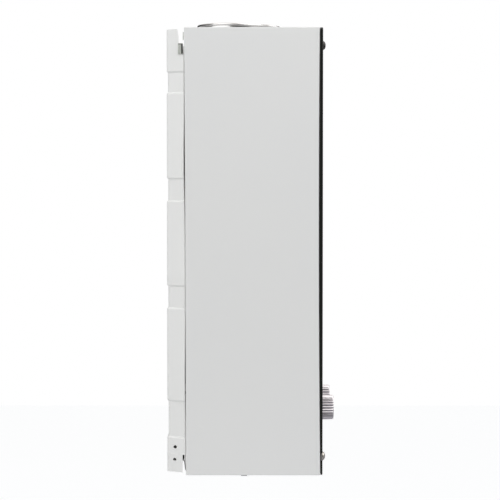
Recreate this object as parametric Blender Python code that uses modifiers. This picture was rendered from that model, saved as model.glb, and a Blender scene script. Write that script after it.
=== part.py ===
"""Wall hung gas water heater with a glass front panel and two fluted knobs.

Metres, +Z up. The wall is the plane Y = 0 and the front of the heater faces -Y. The origin is the middle of
the back plate's wall face. A depth is a distance in front of the wall.
"""

import math

import bmesh
import bpy
from mathutils import Matrix, Vector

PARTS = "tankless_water_heater"
CUTTERS = "cutters"

# Clearances and sheet metal
GAP = 0.0003
SEAM = 0.0003
OVERRUN = 0.0050
SHEET = 0.0008
WELD = 0.00001

# Front cover
CASE_WIDTH = 0.330
CASE_HEIGHT = 0.550
CASE_FRONT_ROOM = 0.0452
COVER_SETBACK = 0.0213
COVER_LEAN = 0.0022
COVER_BEND = 0.0022
COVER_LIP = 0.0080
FLUE_CLEARANCE = 0.0020

# Back plate
PLATE_HEIGHT = 0.544
PLATE_SIDE_ROOM = 0.0150
FLANGE_SPREAD = 0.0136
PLATE_LIP = 0.0110
REAR_BEND = 0.0030
FRONT_BEND = 0.0012
TRAY_LIP = 0.0036
GROOVE_PRESS = 0.0015
GROOVE_RAMP = 0.0022
GROOVE_SHARES = ((-0.423, -0.336), (-0.130, -0.075), (0.113, 0.168), (0.357, 0.408))
KEYHOLE_SPACING = 0.180
KEYHOLE_DROP = 0.0300
KEYHOLE_HEAD_RADIUS = 0.0060
KEYHOLE_SLOT_WIDTH = 0.0060
KEYHOLE_RISE = 0.0130
FOOT_HOLE_DROP = 0.0250
FOOT_HOLE_RADIUS = 0.0035
NOTCH_HEIGHT = 0.0300
NOTCH_REACH = 0.0061
NOTCH_CHAMFER = 0.0088
NOTCH_SLANT = 0.0017
FOOT_NOTCH_HEIGHT = 0.0220
FOOT_NOTCH_REACH = 0.0016
FLANGE_HOLE_RADIUS = 0.0021
FLANGE_HOLE_DEPTH = 0.0093
FLANGE_HOLE_HEIGHTS = (0.0153, 0.0310)

# Hook tabs that hang the cover on the back plate
HOOK_HEIGHT = 0.0132
HOOK_REACH = 0.0074
HOOK_SHEET = 0.0012
HOOK_FOOT = 0.0090

# Glass front panel and its screws
GLASS_THICKNESS = 0.0040
GLASS_CORNER = 0.0030
SCREW_INSET = 0.0210
SCREW_HEAD_RADIUS = 0.0060
SCREW_HEAD_HEIGHT = 0.0036
SCREW_RADIUS = 0.0020
SCREW_REACH = 0.0060
HOLE_CLEARANCE = 0.0005

# Knobs, seals and spindles
KNOB_SPACING = 0.1150
KNOB_HEIGHT = -0.2038
KNOB_RADIUS = 0.0162
KNOB_LENGTH = 0.0158
KNOB_DRAFT_SHARE = 0.98
KNOB_FLUTE = 0.0008
KNOB_FLUTES = 26
KNOB_FLUTE_STEPS = 3
KNOB_RIM = 0.0014
KNOB_DISH = 0.0006
KNOB_MARK = (0.0013, 0.0060, 0.0010)
KNOB_SOCKET = 0.0100
SEAL_RADIUS = 0.0150
SEAL_THICKNESS = 0.0014
SPINDLE_RADIUS = 0.0040
SPINDLE_SINK = 0.0180
SPINDLE_CLEARANCE = 0.0010

# Display behind the glass
DISPLAY_SIZE = (0.0600, 0.0120, 0.0280)
DISPLAY_WINDOW = (0.0440, 0.0160)

# Flue collar and draught hood
FLUE_DEPTH = 0.0882
COLLAR_RADIUS = 0.0540
COLLAR_WALL = 0.0010
COLLAR_RISE = 0.0145
COLLAR_BEAD = 0.0009
COLLAR_FLANGE = 0.0070
HOOD_DROP = 0.0130
HOOD_HEIGHT = 0.0740
HOOD_RIM = 0.0140
HOOD_TOP_WIDTH = 0.1340
HOOD_TOP_DEPTH = 0.1260
HOOD_OUTLET_RADIUS = 0.0500
SPILL_SIZE = (0.1300, 0.0120)
SPILL_RAISE = 0.0260

# Heat exchanger
EXCHANGER_SIDE_ROOM = 0.0570
EXCHANGER_DEPTH = 0.1080
CHAMBER_HEIGHT = 0.1500
CHAMBER_CORNER = 0.0060
FIN_HEIGHT = 0.0480
FIN_COUNT = 10
FIN_THICKNESS = 0.0012
END_PLATE = 0.0024
FIN_TUBE_RADIUS = 0.0078
FIN_TUBE_PITCH = 0.0300
TUBE_STUB = 0.0060
RETURN_BEND_REACH = 0.0150
PIPE_RADIUS = 0.0070
PIPE_BEND = 0.0120
BEND_STEPS = 4
COIL_CORNERS = 10
COIL_RISE = 0.0390
COIL_START = 0.0310
RISER_OFFSET = 0.0150

# Burner
FRAME_HEIGHT = 0.0560
BAR_COUNT = 12
BAR_WIDTH = 0.0100
BAR_HEIGHT = 0.0300
BAR_END_ROOM = 0.0060
BAR_DROP = 0.0190
BAR_SHARES = ((-0.22, 0.0), (0.22, 0.0), (0.22, 0.45), (0.5, 0.62), (0.5, 0.86), (0.26, 1.0),
              (-0.26, 1.0), (-0.5, 0.86), (-0.5, 0.62), (-0.22, 0.45))
RAIL_SIZE = (0.0060, 0.0090)
WINDOW_SIDE_ROOM = 0.0130
WINDOW_HEIGHT = 0.0140
MANIFOLD_SIDE_ROOM = 0.0080
MANIFOLD_WIDTH = 0.0140
MANIFOLD_STANDOFF = 0.0090
MANIFOLD_LUG = 0.0100
INJECTOR_RADIUS = 0.0030
INJECTOR_LENGTH = 0.0060
ELECTRODE_SPACING = 0.0480
ELECTRODE_RAISE = 0.0070
ELECTRODE_RADIUS = 0.0026
ELECTRODE_LENGTH = 0.0220
ELECTRODE_TIP_RADIUS = 0.0009
ELECTRODE_TIP_LENGTH = 0.0140
ELECTRODE_COLLAR = 0.0012
ELECTRODE_PROUD_SHARE = 0.45

# Gas and water valves
VALVE_DEPTH = 0.1000
VALVE_THICKNESS = 0.0500
VALVE_BEVEL = 0.0030
VALVE_BOSS_RADIUS = 0.0130
VALVE_BOSS_LENGTH = 0.0180
GAS_BODY_WIDTH = 0.0560
GAS_BODY_TOP = -0.1320
VALVE_BOTTOM = -0.2280
WATER_BODY_WIDTH = 0.0300
WATER_BODY_TOP = -0.1500
PORT_RADIUS = 0.0120
PORT_LENGTH = 0.0080
STEM_HEIGHT = -0.1650
HOUSING_RADIUS = 0.0340
HOUSING_OVERLAP = 0.0027
HOUSING_WIDTH = 0.0200
CAVITY_RADIUS = 0.0260
CAVITY_DEPTH = 0.0088
DIAPHRAGM_THICKNESS = 0.0018
DIAPHRAGM_COVER_THICKNESS = 0.0110
DIAPHRAGM_BOSS_RADIUS = 0.0090
DIAPHRAGM_BOSS_LENGTH = 0.0080
STEM_RADIUS = 0.0035
STEM_CLEARANCE = 0.0010
STEM_PLATE_RADIUS = 0.0220
STEM_PLATE_THICKNESS = 0.0020
STEM_SINK = 0.0137
STEM_BORE_LENGTH = 0.0300
TRIP_RADIUS = 0.0070
TRIP_STANDOFF = 0.0178
TRIP_RAMP = 0.0060
TRIP_LENGTH = 0.0090
SOLENOID_RADIUS = 0.0140
SOLENOID_LENGTH = 0.0300
DRAIN_RADIUS = 0.0070
DRAIN_LENGTH = 0.0120
DRAIN_RAISE = 0.0130
COLD_PORT_RAISE = 0.0630

# Microswitch and its lever
SWITCH_SIZE = (0.0120, 0.0066, 0.0100)
SWITCH_EAR = (0.0030, 0.0012, 0.0040)
LEVER_DROP = 0.0020
LEVER_LENGTH = 0.0150
LEVER_SHEET = 0.0006
LEVER_BARREL_RADIUS = 0.0011
LEVER_FOOT_RADIUS = 0.0016
LEVER_PIVOT_INSET = 0.0028

# Pipe fittings at the bottom
FITTING_RADIUS = 0.0104
FITTING_BORE = 0.0070
FITTING_END = -0.2850
FITTING_COLLAR_RADIUS = 0.0150
FITTING_COLLAR = 0.0030
NUT_WIDTH = 0.0300
NUT_HEIGHT = 0.0070
OUTLET_SHARE = 0.5814
OUTLET_TOP = -0.2400
COLD_RISER_TOP = -0.0400

# Brackets
BRACKET_SHEET = 0.0016
BRACKET_FOOT = 0.0140
BRACKET_HEIGHT = 0.0180
VALVE_BRACKET_SPARE = 0.0070
VALVE_BRACKET_PLACE = -0.1420
EXCHANGER_BRACKET_WIDTH = 0.1500
EXCHANGER_BRACKET_HEIGHT = 0.0120
EXCHANGER_BRACKET_PLACE = 0.0000

# Electrics
MODULE_BRACKET_ROOM = 0.0140
MODULE_DEPTH = 0.0250
MODULE_HEIGHT = 0.0740
MODULE_SIDE_ROOM = 0.0200
MODULE_MIDDLE = -0.1270
SENSOR_SIZE = (0.0080, 0.0120, 0.0140)
THERMOSTAT_PLACE = -0.0600
FLUE_SENSOR_RADIUS = 0.0080
FLUE_SENSOR_THICKNESS = 0.0060
LEAD_RADIUS = 0.0016
LEAD_POINTS_PER_SPAN = 2
IGNITION_RISE = ((0.026, 0, 0), (0.026, 0, 0.0087), (0.018, 0.0054, 0.0177))
IGNITION_BEND = ((-0.010, -0.1062, -0.0281), (-0.022, -0.0662, -0.0161), (-0.021, -0.0202, -0.0061),
                 (0, 0.0178, 0.0039), (0.042, 0.0338, 0.0070), (0.072, 0.0338, 0.0070))
IGNITION_DROP = ((0, 0.0218, 0), (0, 0.0148, 0))
SENSOR_RISE = ((-0.002, 0, 0), (-0.002, 0, 0.0057), (-0.008, 0.0064, 0.0147))
SENSOR_BEND = ((-0.028, -0.0982, -0.0361), (-0.034, -0.0522, -0.0281), (-0.030, -0.0062, -0.0161),
               (-0.004, 0.0278, -0.0081), (0.048, 0.0388, -0.0081), (0.110, 0.0378, -0.0021))
SENSOR_DROP = ((0, 0.0238, 0), (0, 0.0158, 0))
BATTERY_RISE = ((0, -0.015, 0), (0, -0.016, 0.0116), (-0.004, -0.043, 0.0236), (-0.006, -0.083, 0.0276))
BATTERY_BEND = ((-0.010, 0.0084, -0.0137), (-0.008, 0, -0.0067), (-0.008, 0, 0))

# Battery case, cells and cover
BATTERY_SHARE = 0.4591
BATTERY_FRONT_ROOM = 0.0544
CELL_RADIUS = 0.0170
CELL_LENGTH = 0.0590
CELL_NUB_RADIUS = 0.0045
CELL_NUB = 0.0020
CELL_EDGE = 0.0010
CELL_ROOM = 0.0008
BATTERY_WALL = 0.0015
BATTERY_SKIRT = 0.0029
BATTERY_FLANGE = 0.0040
CONTACT_SHEET = 0.0005
DOOR_THICKNESS = 0.0020
DOOR_BARREL_RADIUS = 0.0019
DOOR_PIN_RADIUS = 0.0010
DOOR_PIN_LENGTH = 0.0015
DOOR_SETBACK = 0.0032
DOOR_EAR = (0.0022, 0.0075, 0.0046)
DOOR_TAB = (0.0140, 0.0030, 0.0040)
DOOR_RUNNING_GAP = 0.0004

# Bottom panel
PANEL_SIDE_ROOM = 0.0020
PANEL_STEP_ROOM = 0.0012
PANEL_REAR = 0.0030
PANEL_TONGUE = 0.1200
AIR_SLOT_COUNT = 9
AIR_SLOT_SIZE = (0.0070, 0.0420)
AIR_SLOT_PITCH = 0.0150
AIR_SLOT_REAR = 0.0470
AIR_SLOT_FRONT_ROOM = 0.0354
COVER_SCREW_SIDE_ROOM = 0.0200
COVER_SCREW_HEAD_RADIUS = 0.0040
COVER_SCREW_HEAD = 0.0022
COVER_SCREW_RADIUS = 0.0018
COVER_SCREW_LENGTH = 0.0080
COVER_SCREW_INSET = 0.0045

# Places that follow from the sizes above
EXCHANGER_FRONT = FLUE_DEPTH + EXCHANGER_DEPTH / 2
EXCHANGER_REAR = FLUE_DEPTH - EXCHANGER_DEPTH / 2
CASE_DEPTH = EXCHANGER_FRONT + CASE_FRONT_ROOM
EXCHANGER_WIDTH = CASE_WIDTH - 2 * EXCHANGER_SIDE_ROOM
PLATE_FLAT_WIDTH = CASE_WIDTH - 2 * PLATE_SIDE_ROOM
COVER_SCREW_SPACING = CASE_WIDTH - 2 * COVER_SCREW_SIDE_ROOM
AIR_SLOT_DEPTHS = (AIR_SLOT_REAR, CASE_DEPTH - AIR_SLOT_FRONT_ROOM)
VALVE_BRACKET_WIDTH = KNOB_SPACING + VALVE_BRACKET_SPARE
MODULE_WIDTH = (CASE_WIDTH - VALVE_BRACKET_WIDTH) / 2 - MODULE_SIDE_ROOM - MODULE_BRACKET_ROOM
MODULE_SIZE = (MODULE_WIDTH, MODULE_DEPTH, MODULE_HEIGHT)
MODULE_X = MODULE_SIDE_ROOM + MODULE_WIDTH / 2 - CASE_WIDTH / 2
BATTERY_DEPTH = CASE_DEPTH - BATTERY_FRONT_ROOM
BAR_DEPTH = EXCHANGER_DEPTH - 2 * BAR_END_ROOM
FRAME_WINDOW = (EXCHANGER_WIDTH - 2 * WINDOW_SIDE_ROOM, WINDOW_HEIGHT)
MANIFOLD_SIZE = (EXCHANGER_WIDTH - 2 * MANIFOLD_SIDE_ROOM, MANIFOLD_WIDTH, MANIFOLD_WIDTH)
FLANGE_DEPTH = COVER_SETBACK - SEAM
PLATE_TOP = PLATE_HEIGHT / 2
PANEL_TOP = -PLATE_HEIGHT / 2 - GAP
PANEL_BOTTOM = PANEL_TOP - SHEET
GLASS_REAR = CASE_DEPTH + GAP
GLASS_FRONT = GLASS_REAR + GLASS_THICKNESS
KNOB_REAR = GLASS_FRONT + SEAL_THICKNESS + 2 * GAP
HOOD_TOP = CASE_HEIGHT / 2 - HOOD_DROP
HOOD_BOTTOM = HOOD_TOP - HOOD_HEIGHT
FIN_TOP = HOOD_BOTTOM - GAP
FIN_BOTTOM = FIN_TOP - FIN_HEIGHT
CHAMBER_TOP = FIN_BOTTOM - GAP
CHAMBER_BOTTOM = CHAMBER_TOP - CHAMBER_HEIGHT
FRAME_TOP = CHAMBER_BOTTOM - GAP
FRAME_BOTTOM = FRAME_TOP - FRAME_HEIGHT
BAR_TOP = FRAME_TOP - BAR_DROP
FIN_TUBE_HEIGHT = (FIN_TOP + FIN_BOTTOM) / 2
TUBE_END = EXCHANGER_WIDTH / 2 + TUBE_STUB
COIL_X = EXCHANGER_WIDTH / 2 + PIPE_RADIUS + GAP
COIL_Y = EXCHANGER_DEPTH / 2 + PIPE_RADIUS + GAP
GAS_X = -KNOB_SPACING / 2
WATER_X = KNOB_SPACING / 2
GAS_RIGHT = GAS_X + GAS_BODY_WIDTH / 2
GAS_LEFT = GAS_X - GAS_BODY_WIDTH / 2
BATTERY_PLACE = GAS_LEFT - (CASE_WIDTH / 2 + GAS_LEFT) * BATTERY_SHARE
OUTLET_PLACE = WATER_X + (CASE_WIDTH / 2 - WATER_X) * OUTLET_SHARE
WATER_RIGHT = WATER_X + WATER_BODY_WIDTH / 2
HOUSING_LEFT = WATER_RIGHT - WATER_BODY_WIDTH + HOUSING_OVERLAP - HOUSING_WIDTH
VALVE_REAR = VALVE_DEPTH - VALVE_THICKNESS / 2
VALVE_FRONT = VALVE_DEPTH + VALVE_THICKNESS / 2
MANIFOLD_DEPTH = EXCHANGER_FRONT + MANIFOLD_STANDOFF + MANIFOLD_SIZE[1] / 2
MANIFOLD_HEIGHT = BAR_TOP - BAR_HEIGHT + MANIFOLD_SIZE[2] / 2
DIAPHRAGM_LEFT = HOUSING_LEFT - GAP - DIAPHRAGM_THICKNESS
COVER_RIGHT = DIAPHRAGM_LEFT - GAP
STEM_RIGHT = DIAPHRAGM_LEFT - GAP
STEM_LENGTH = STEM_RIGHT - GAS_RIGHT + STEM_SINK
TRIP_START = STEM_RIGHT - GAS_RIGHT - TRIP_STANDOFF
CASE_MOUTH = PANEL_BOTTOM - BATTERY_SKIRT
DOOR_TOP = CASE_MOUTH - GAP
DOOR_AXIS_HEIGHT = DOOR_TOP - DOOR_THICKNESS / 2
CELL_BOTTOM = DOOR_TOP + CONTACT_SHEET + GAP
CELL_TOP = CELL_BOTTOM + CELL_LENGTH + CELL_NUB
CASE_ROOF = CELL_TOP + CONTACT_SHEET + 2 * GAP + BATTERY_WALL
CASE_INNER = (2 * CELL_RADIUS + 2 * CELL_ROOM, 4 * CELL_RADIUS + 3 * CELL_ROOM)
CASE_OUTER = (CASE_INNER[0] + 2 * BATTERY_WALL, CASE_INNER[1] + 2 * BATTERY_WALL)
CASE_REAR = BATTERY_DEPTH - CASE_OUTER[1] / 2
DOOR_AXIS_DEPTH = CASE_REAR - DOOR_SETBACK

SHARP_ANGLE = math.radians(32)
FACING_SHARE = 0.5
QUARTER = math.pi / 2
TURNS = {"up": (0, 0, 0), "front": (QUARTER, 0, 0), "side": (QUARTER, 0, QUARTER)}

LOOKS = {
    "white_enamel": ((0.71, 0.71, 0.70), 0.38, 0.0),
    "black_glass": ((0.015, 0.017, 0.015), 0.06, 0.0),
    "dark_screw": ((0.10, 0.10, 0.10), 0.35, 0.9),
    "satin_chrome": ((0.45, 0.44, 0.42), 0.34, 0.9),
    "black_rubber": ((0.02, 0.02, 0.02), 0.80, 0.0),
    "galvanised": ((0.55, 0.56, 0.57), 0.35, 0.9),
    "copper": ((0.72, 0.33, 0.18), 0.30, 1.0),
    "brass": ((0.70, 0.52, 0.22), 0.32, 1.0),
    "stainless": ((0.50, 0.49, 0.47), 0.30, 1.0),
    "cast_alloy": ((0.42, 0.43, 0.44), 0.55, 0.8),
    "black_plastic": ((0.03, 0.03, 0.03), 0.50, 0.0),
    "grey_plastic": ((0.30, 0.31, 0.32), 0.50, 0.0),
    "white_plastic": ((0.70, 0.70, 0.68), 0.45, 0.0),
    "ceramic": ((0.80, 0.78, 0.73), 0.30, 0.0),
    "red_lead": ((0.45, 0.04, 0.03), 0.45, 0.0),
    "cell_jacket": ((0.10, 0.16, 0.28), 0.40, 0.2),
}


def clear_scene():
    """Removes the startup objects."""
    for obj in list(bpy.data.objects):
        bpy.data.objects.remove(obj, do_unlink=True)


def spot(across, depth, height):
    """A place given as its distance across, its depth in front of the wall and its height."""
    return Vector((across, -depth, height))


def dress(obj, look):
    """Gives an object a material of its own in one of the finishes."""
    colour, roughness, metallic = LOOKS[look]
    material = bpy.data.materials.new(obj.name + "_finish")
    material.use_nodes = True
    shader = material.node_tree.nodes["Principled BSDF"]
    shader.inputs["Base Color"].default_value = (*colour, 1.0)
    shader.inputs["Roughness"].default_value = roughness
    shader.inputs["Metallic"].default_value = metallic
    material.diffuse_color = (*colour, 1.0)
    obj.data.materials.append(material)


def add(name, data, place, turn, look):
    """Makes an object: a part where it has a look, and a hidden helper where it has none."""
    obj = bpy.data.objects.new(name, data)
    obj.location = place
    obj.rotation_euler = TURNS[turn]
    if look:
        bpy.data.collections[PARTS].objects.link(obj)
        dress(obj, look)
    else:
        bpy.data.collections[CUTTERS].objects.link(obj)
        obj.hide_render = True
        obj.display_type = "WIRE"
    return obj


def face_outwards(bm):
    """Turns every face away from the middle of the shape, also on an open surface."""
    bmesh.ops.recalc_face_normals(bm, faces=bm.faces)
    corners = [vert.co for vert in bm.verts]
    middle = Vector([(min(axis) + max(axis)) / 2 for axis in zip(*corners)])
    outward = sum(face.normal.dot(face.calc_center_median() - middle) * face.calc_area() for face in bm.faces)
    if outward < 0:
        bmesh.ops.reverse_faces(bm, faces=bm.faces)


def mesh_from(name, bm):
    """A mesh of this bmesh, smooth but for its sharp edges."""
    face_outwards(bm)
    mesh = bpy.data.meshes.new(name)
    bm.to_mesh(mesh)
    bm.free()
    mesh.shade_smooth()
    mesh.set_sharp_from_angle(angle=SHARP_ANGLE)
    return mesh


def block(name, size, place, look=None, bevel=0.0, copies=((0, 0, 0),)):
    """A box about its middle, or one at each of these offsets, with its edges rounded by the bevel."""
    bm = bmesh.new()
    for offset in copies:
        matrix = Matrix.Translation(offset) @ Matrix.Diagonal((*size, 1.0))
        bmesh.ops.create_cube(bm, size=1.0, matrix=matrix)
    obj = add(name, mesh_from(name, bm), place, "up", look)
    if bevel:
        round_edges(obj, bevel, segments=1)
    return obj


def rod(name, radius, length, place, look=None, turn="up", sides=16, copies=((0, 0, 0),)):
    """A cylinder about its middle, or one at each of these offsets."""
    bm = bmesh.new()
    for offset in copies:
        bmesh.ops.create_cone(bm, cap_ends=True, segments=sides, radius1=radius, radius2=radius,
                              depth=length, matrix=Matrix.Translation(offset))
    return add(name, mesh_from(name, bm), place, turn, look)


def turned(name, profile, place, look=None, turn="up", steps=24):
    """A turned piece. Its profile lists (radius, height) down the outside, then up the inside of a ring."""
    mesh = bpy.data.meshes.new(name)
    count = len(profile)
    edges = [(index, index + 1) for index in range(count - 1)]
    if profile[0][0] > 0 and profile[-1][0] > 0:
        edges.append((count - 1, 0))
    mesh.from_pydata([(radius, 0, height) for radius, height in profile], edges, [])
    obj = add(name, mesh, place, turn, look)
    screw = obj.modifiers.new("turn", "SCREW")
    screw.steps = screw.render_steps = steps
    screw.use_merge_vertices = True
    screw.merge_threshold = WELD
    return obj


def plate(name, outlines, thickness, place, look=None, turn="up"):
    """A flat piece about its middle plane: its outlines, those inside another being holes."""
    curve = bpy.data.curves.new(name, "CURVE")
    curve.dimensions = "2D"
    curve.fill_mode = "BOTH"
    curve.extrude = thickness / 2
    for outline in outlines:
        fill_spline(curve, outline, cyclic=True)
    return add(name, curve, place, turn, look)


def tube(name, points, radius, look=None, place=(0, 0, 0), turn="up", detail=2):
    """A round tube or wire along these points, with closed ends."""
    curve = bpy.data.curves.new(name, "CURVE")
    curve.dimensions = "3D"
    curve.bevel_depth = radius
    curve.bevel_resolution = detail
    curve.use_fill_caps = True
    fill_spline(curve, points, cyclic=False)
    return add(name, curve, place, turn, look)


def fill_spline(curve, points, cyclic):
    """Adds a straight sided spline through these points."""
    spline = curve.splines.new("POLY")
    spline.points.add(len(points) - 1)
    for target, point in zip(spline.points, points):
        target.co = (*point, *[0.0] * (3 - len(point)), 1.0)
    spline.use_cyclic_u = cyclic


def as_mesh(obj, look=None):
    """Replaces a curve object with a welded mesh of the same name and place."""
    bpy.context.view_layer.update()
    graph = bpy.context.evaluated_depsgraph_get()
    mesh = bpy.data.meshes.new_from_object(obj.evaluated_get(graph))
    mesh.materials.clear()
    name, place = obj.name, obj.matrix_world.copy()
    bpy.data.objects.remove(obj, do_unlink=True)
    bm = bmesh.new()
    bm.from_mesh(mesh)
    bmesh.ops.remove_doubles(bm, verts=bm.verts, dist=WELD)
    solid = add(name, mesh_from(name, bm), (0, 0, 0), "up", look)
    solid.matrix_world = place
    return solid


def round_edges(obj, width, segments=2):
    """Rounds an object's sharp edges."""
    bevel = obj.modifiers.new("round", "BEVEL")
    bevel.width = width
    bevel.segments = segments
    bevel.limit_method = "ANGLE"


def thicken(obj, thickness, offset=-1.0):
    """Gives an open surface its sheet thickness, on its inner side unless told otherwise."""
    solidify = obj.modifiers.new("sheet", "SOLIDIFY")
    solidify.thickness = thickness
    solidify.offset = offset
    solidify.use_even_offset = True


def combine(operation, obj, helpers):
    """Joins or cuts an object with helpers by exact Booleans."""
    for helper in helpers:
        boolean = obj.modifiers.new(operation.lower(), "BOOLEAN")
        boolean.operation = operation
        boolean.solver = "EXACT"
        boolean.object = helper
    return obj


def cut(obj, *cutters):
    """Takes the cutters out of an object."""
    return combine("DIFFERENCE", obj, cutters)


def unite(obj, *helpers):
    """Makes one body of an object and helpers that overlap it."""
    return combine("UNION", obj, helpers)


def circle(radius, sides, across=0.0, up=0.0):
    """Outline of a circle about a point."""
    angles = [2 * math.pi * index / sides for index in range(sides)]
    return [Vector((across + radius * math.cos(a), up + radius * math.sin(a))) for a in angles]


def rectangle(width, height, across=0.0, up=0.0):
    """Outline of a rectangle about a point."""
    return [Vector((across + sign_x * width / 2, up + sign_y * height / 2))
            for sign_x, sign_y in ((-1, -1), (1, -1), (1, 1), (-1, 1))]


def arc_at(before, corner, after, radius, steps):
    """Points of the arc that rounds one corner."""
    inward = (before - corner).normalized()
    outward = (after - corner).normalized()
    half = inward.angle(outward) / 2
    reach = radius / math.tan(half)
    middle = corner + (inward + outward).normalized() * (radius / math.sin(half))
    start = (corner + inward * reach - middle).normalized()
    end = (corner + outward * reach - middle).normalized()
    return [middle + start.slerp(end, step / steps) * radius for step in range(steps + 1)]


def rounded_outline(points, radius, steps=2):
    """A closed outline with every corner rounded."""
    count = len(points)
    arcs = [arc_at(points[i - 1], points[i], points[(i + 1) % count], radius, steps) for i in range(count)]
    return [point for arc in arcs for point in arc]


def rounded_path(points, radius, steps=BEND_STEPS):
    """An open path with each bend rounded, as a pipe is bent."""
    points = [Vector(point) for point in points]
    path = [points[0]]
    for before, corner, after in zip(points, points[1:], points[2:]):
        path += arc_at(before, corner, after, radius, steps)
    return path + [points[-1]]


def smooth_route(points):
    """A smooth curve through a lead's own points."""
    points = [Vector(point) for point in points]
    ends = [2 * points[0] - points[1], *points, 2 * points[-1] - points[-2]]
    route = [points[0]]
    for a, b, c, d in zip(ends, ends[1:], ends[2:], ends[3:]):
        for step in range(1, LEAD_POINTS_PER_SPAN + 1):
            t = step / LEAD_POINTS_PER_SPAN
            route.append(0.5 * (2 * b + (c - a) * t + (2 * a - 5 * b + 4 * c - d) * t**2
                                + (3 * b - a - 3 * c + d) * t**3))
    return route


def strip(name, path, height, place, look, sheet):
    """A bent strip of sheet: a path seen from above, given a height and a thickness about its middle."""
    bm = bmesh.new()
    rows = [[bm.verts.new((x, y, z)) for x, y in path] for z in (-height / 2, height / 2)]
    for index in range(len(path) - 1):
        bm.faces.new((rows[0][index], rows[0][index + 1], rows[1][index + 1], rows[1][index]))
    obj = add(name, mesh_from(name, bm), place, "up", look)
    thicken(obj, sheet, offset=0.0)
    return obj


def sleeve(name, width, depth, height, place, look, corner):
    """A rectangular sheet sleeve with round corners, open at its top and bottom."""
    bm = bmesh.new()
    bmesh.ops.create_cube(bm, size=1.0, matrix=Matrix.Diagonal((width, depth, height, 1.0)))
    ends = [face for face in bm.faces if abs(face.normal.z) > FACING_SHARE]
    bmesh.ops.delete(bm, geom=ends, context="FACES_ONLY")
    obj = add(name, mesh_from(name, bm), place, "up", look)
    round_edges(obj, corner)
    thicken(obj, SHEET)
    return obj


def axis_empty(name, place):
    """An empty on a joint's axis, which carries what turns or slides there."""
    empty = bpy.data.objects.new(name, None)
    empty.location = place
    bpy.data.collections[CUTTERS].objects.link(empty)
    return empty


def carry(empty, *pieces):
    """Parents pieces to a joint's empty without moving them."""
    for piece in pieces:
        piece.parent = empty
        piece.location = piece.location - empty.location


def plate_section(press):
    """The back plate's section seen from above, from one lip to the other, pressed in by this much."""
    slant = math.atan2(FLANGE_DEPTH, FLANGE_SPREAD)
    half = PLATE_FLAT_WIDTH / 2
    rear_x = half - press * math.tan(slant / 2)
    front_x = half + FLANGE_SPREAD - press / math.sin(slant)
    corners = [Vector((0, -press)), Vector((rear_x, -press)), Vector((front_x, -FLANGE_DEPTH)),
               Vector((front_x - PLATE_LIP, -FLANGE_DEPTH))]
    right = arc_at(*corners[0:3], REAR_BEND, 2) + arc_at(*corners[1:4], FRONT_BEND, 2) + [corners[3]]
    left = [Vector((-point.x, point.y)) for point in reversed(right)]
    return left + right


def groove_stations():
    """Heights up the back plate, each with how far the sheet is pressed in there."""
    stations = [(-PLATE_TOP, 0.0)]
    for low, high in GROOVE_SHARES:
        low, high = low * PLATE_HEIGHT, high * PLATE_HEIGHT
        stations += [(low, 0.0), (low + GROOVE_RAMP, GROOVE_PRESS), (high - GROOVE_RAMP, GROOVE_PRESS),
                     (high, 0.0)]
    return stations + [(PLATE_TOP, 0.0)]


def build_back_plate():
    """The wall plate: a tray with slanted flanges, pressed grooves, keyholes and corner notches."""
    bm = bmesh.new()
    below = None
    for height, press in groove_stations():
        row = [bm.verts.new((point.x, point.y, height)) for point in plate_section(press)]
        if below:
            for index in range(len(row) - 1):
                bm.faces.new((below[index], below[index + 1], row[index + 1], row[index]))
        below = row
    tray = add("back_plate", mesh_from("back_plate", bm), (0, 0, 0), "up", "white_enamel")
    thicken(tray, SHEET)
    lip_size = (PLATE_FLAT_WIDTH - 2 * SHEET, TRAY_LIP - SHEET / 2, SHEET)
    lip_depth = (TRAY_LIP + SHEET / 2) / 2
    lips = [block("tray_lip_" + side, lip_size, spot(0, lip_depth, sign * (PLATE_TOP - SHEET)))
            for side, sign in (("top", 1), ("bottom", -1))]
    unite(tray, *lips)
    cut(tray, *plate_hole_cutters(), *flange_cutters())


def plate_hole_cutters():
    """Keyholes near the top of the back plate and plain holes near its foot."""
    cutters = []
    for side, sign in (("left", -1), ("right", 1)):
        across = sign * KEYHOLE_SPACING / 2
        head = PLATE_TOP - KEYHOLE_DROP
        cutters.append(rod("keyhole_head_" + side, KEYHOLE_HEAD_RADIUS, OVERRUN, spot(across, 0, head),
                           turn="front", sides=16))
        slot_size = (KEYHOLE_SLOT_WIDTH, OVERRUN, KEYHOLE_RISE)
        cutters.append(block("keyhole_slot_" + side, slot_size, spot(across, 0, head + KEYHOLE_RISE / 2)))
        cutters.append(rod("foot_hole_" + side, FOOT_HOLE_RADIUS, OVERRUN,
                           spot(across, 0, FOOT_HOLE_DROP - PLATE_TOP), turn="front", sides=12))
    return cutters


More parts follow.
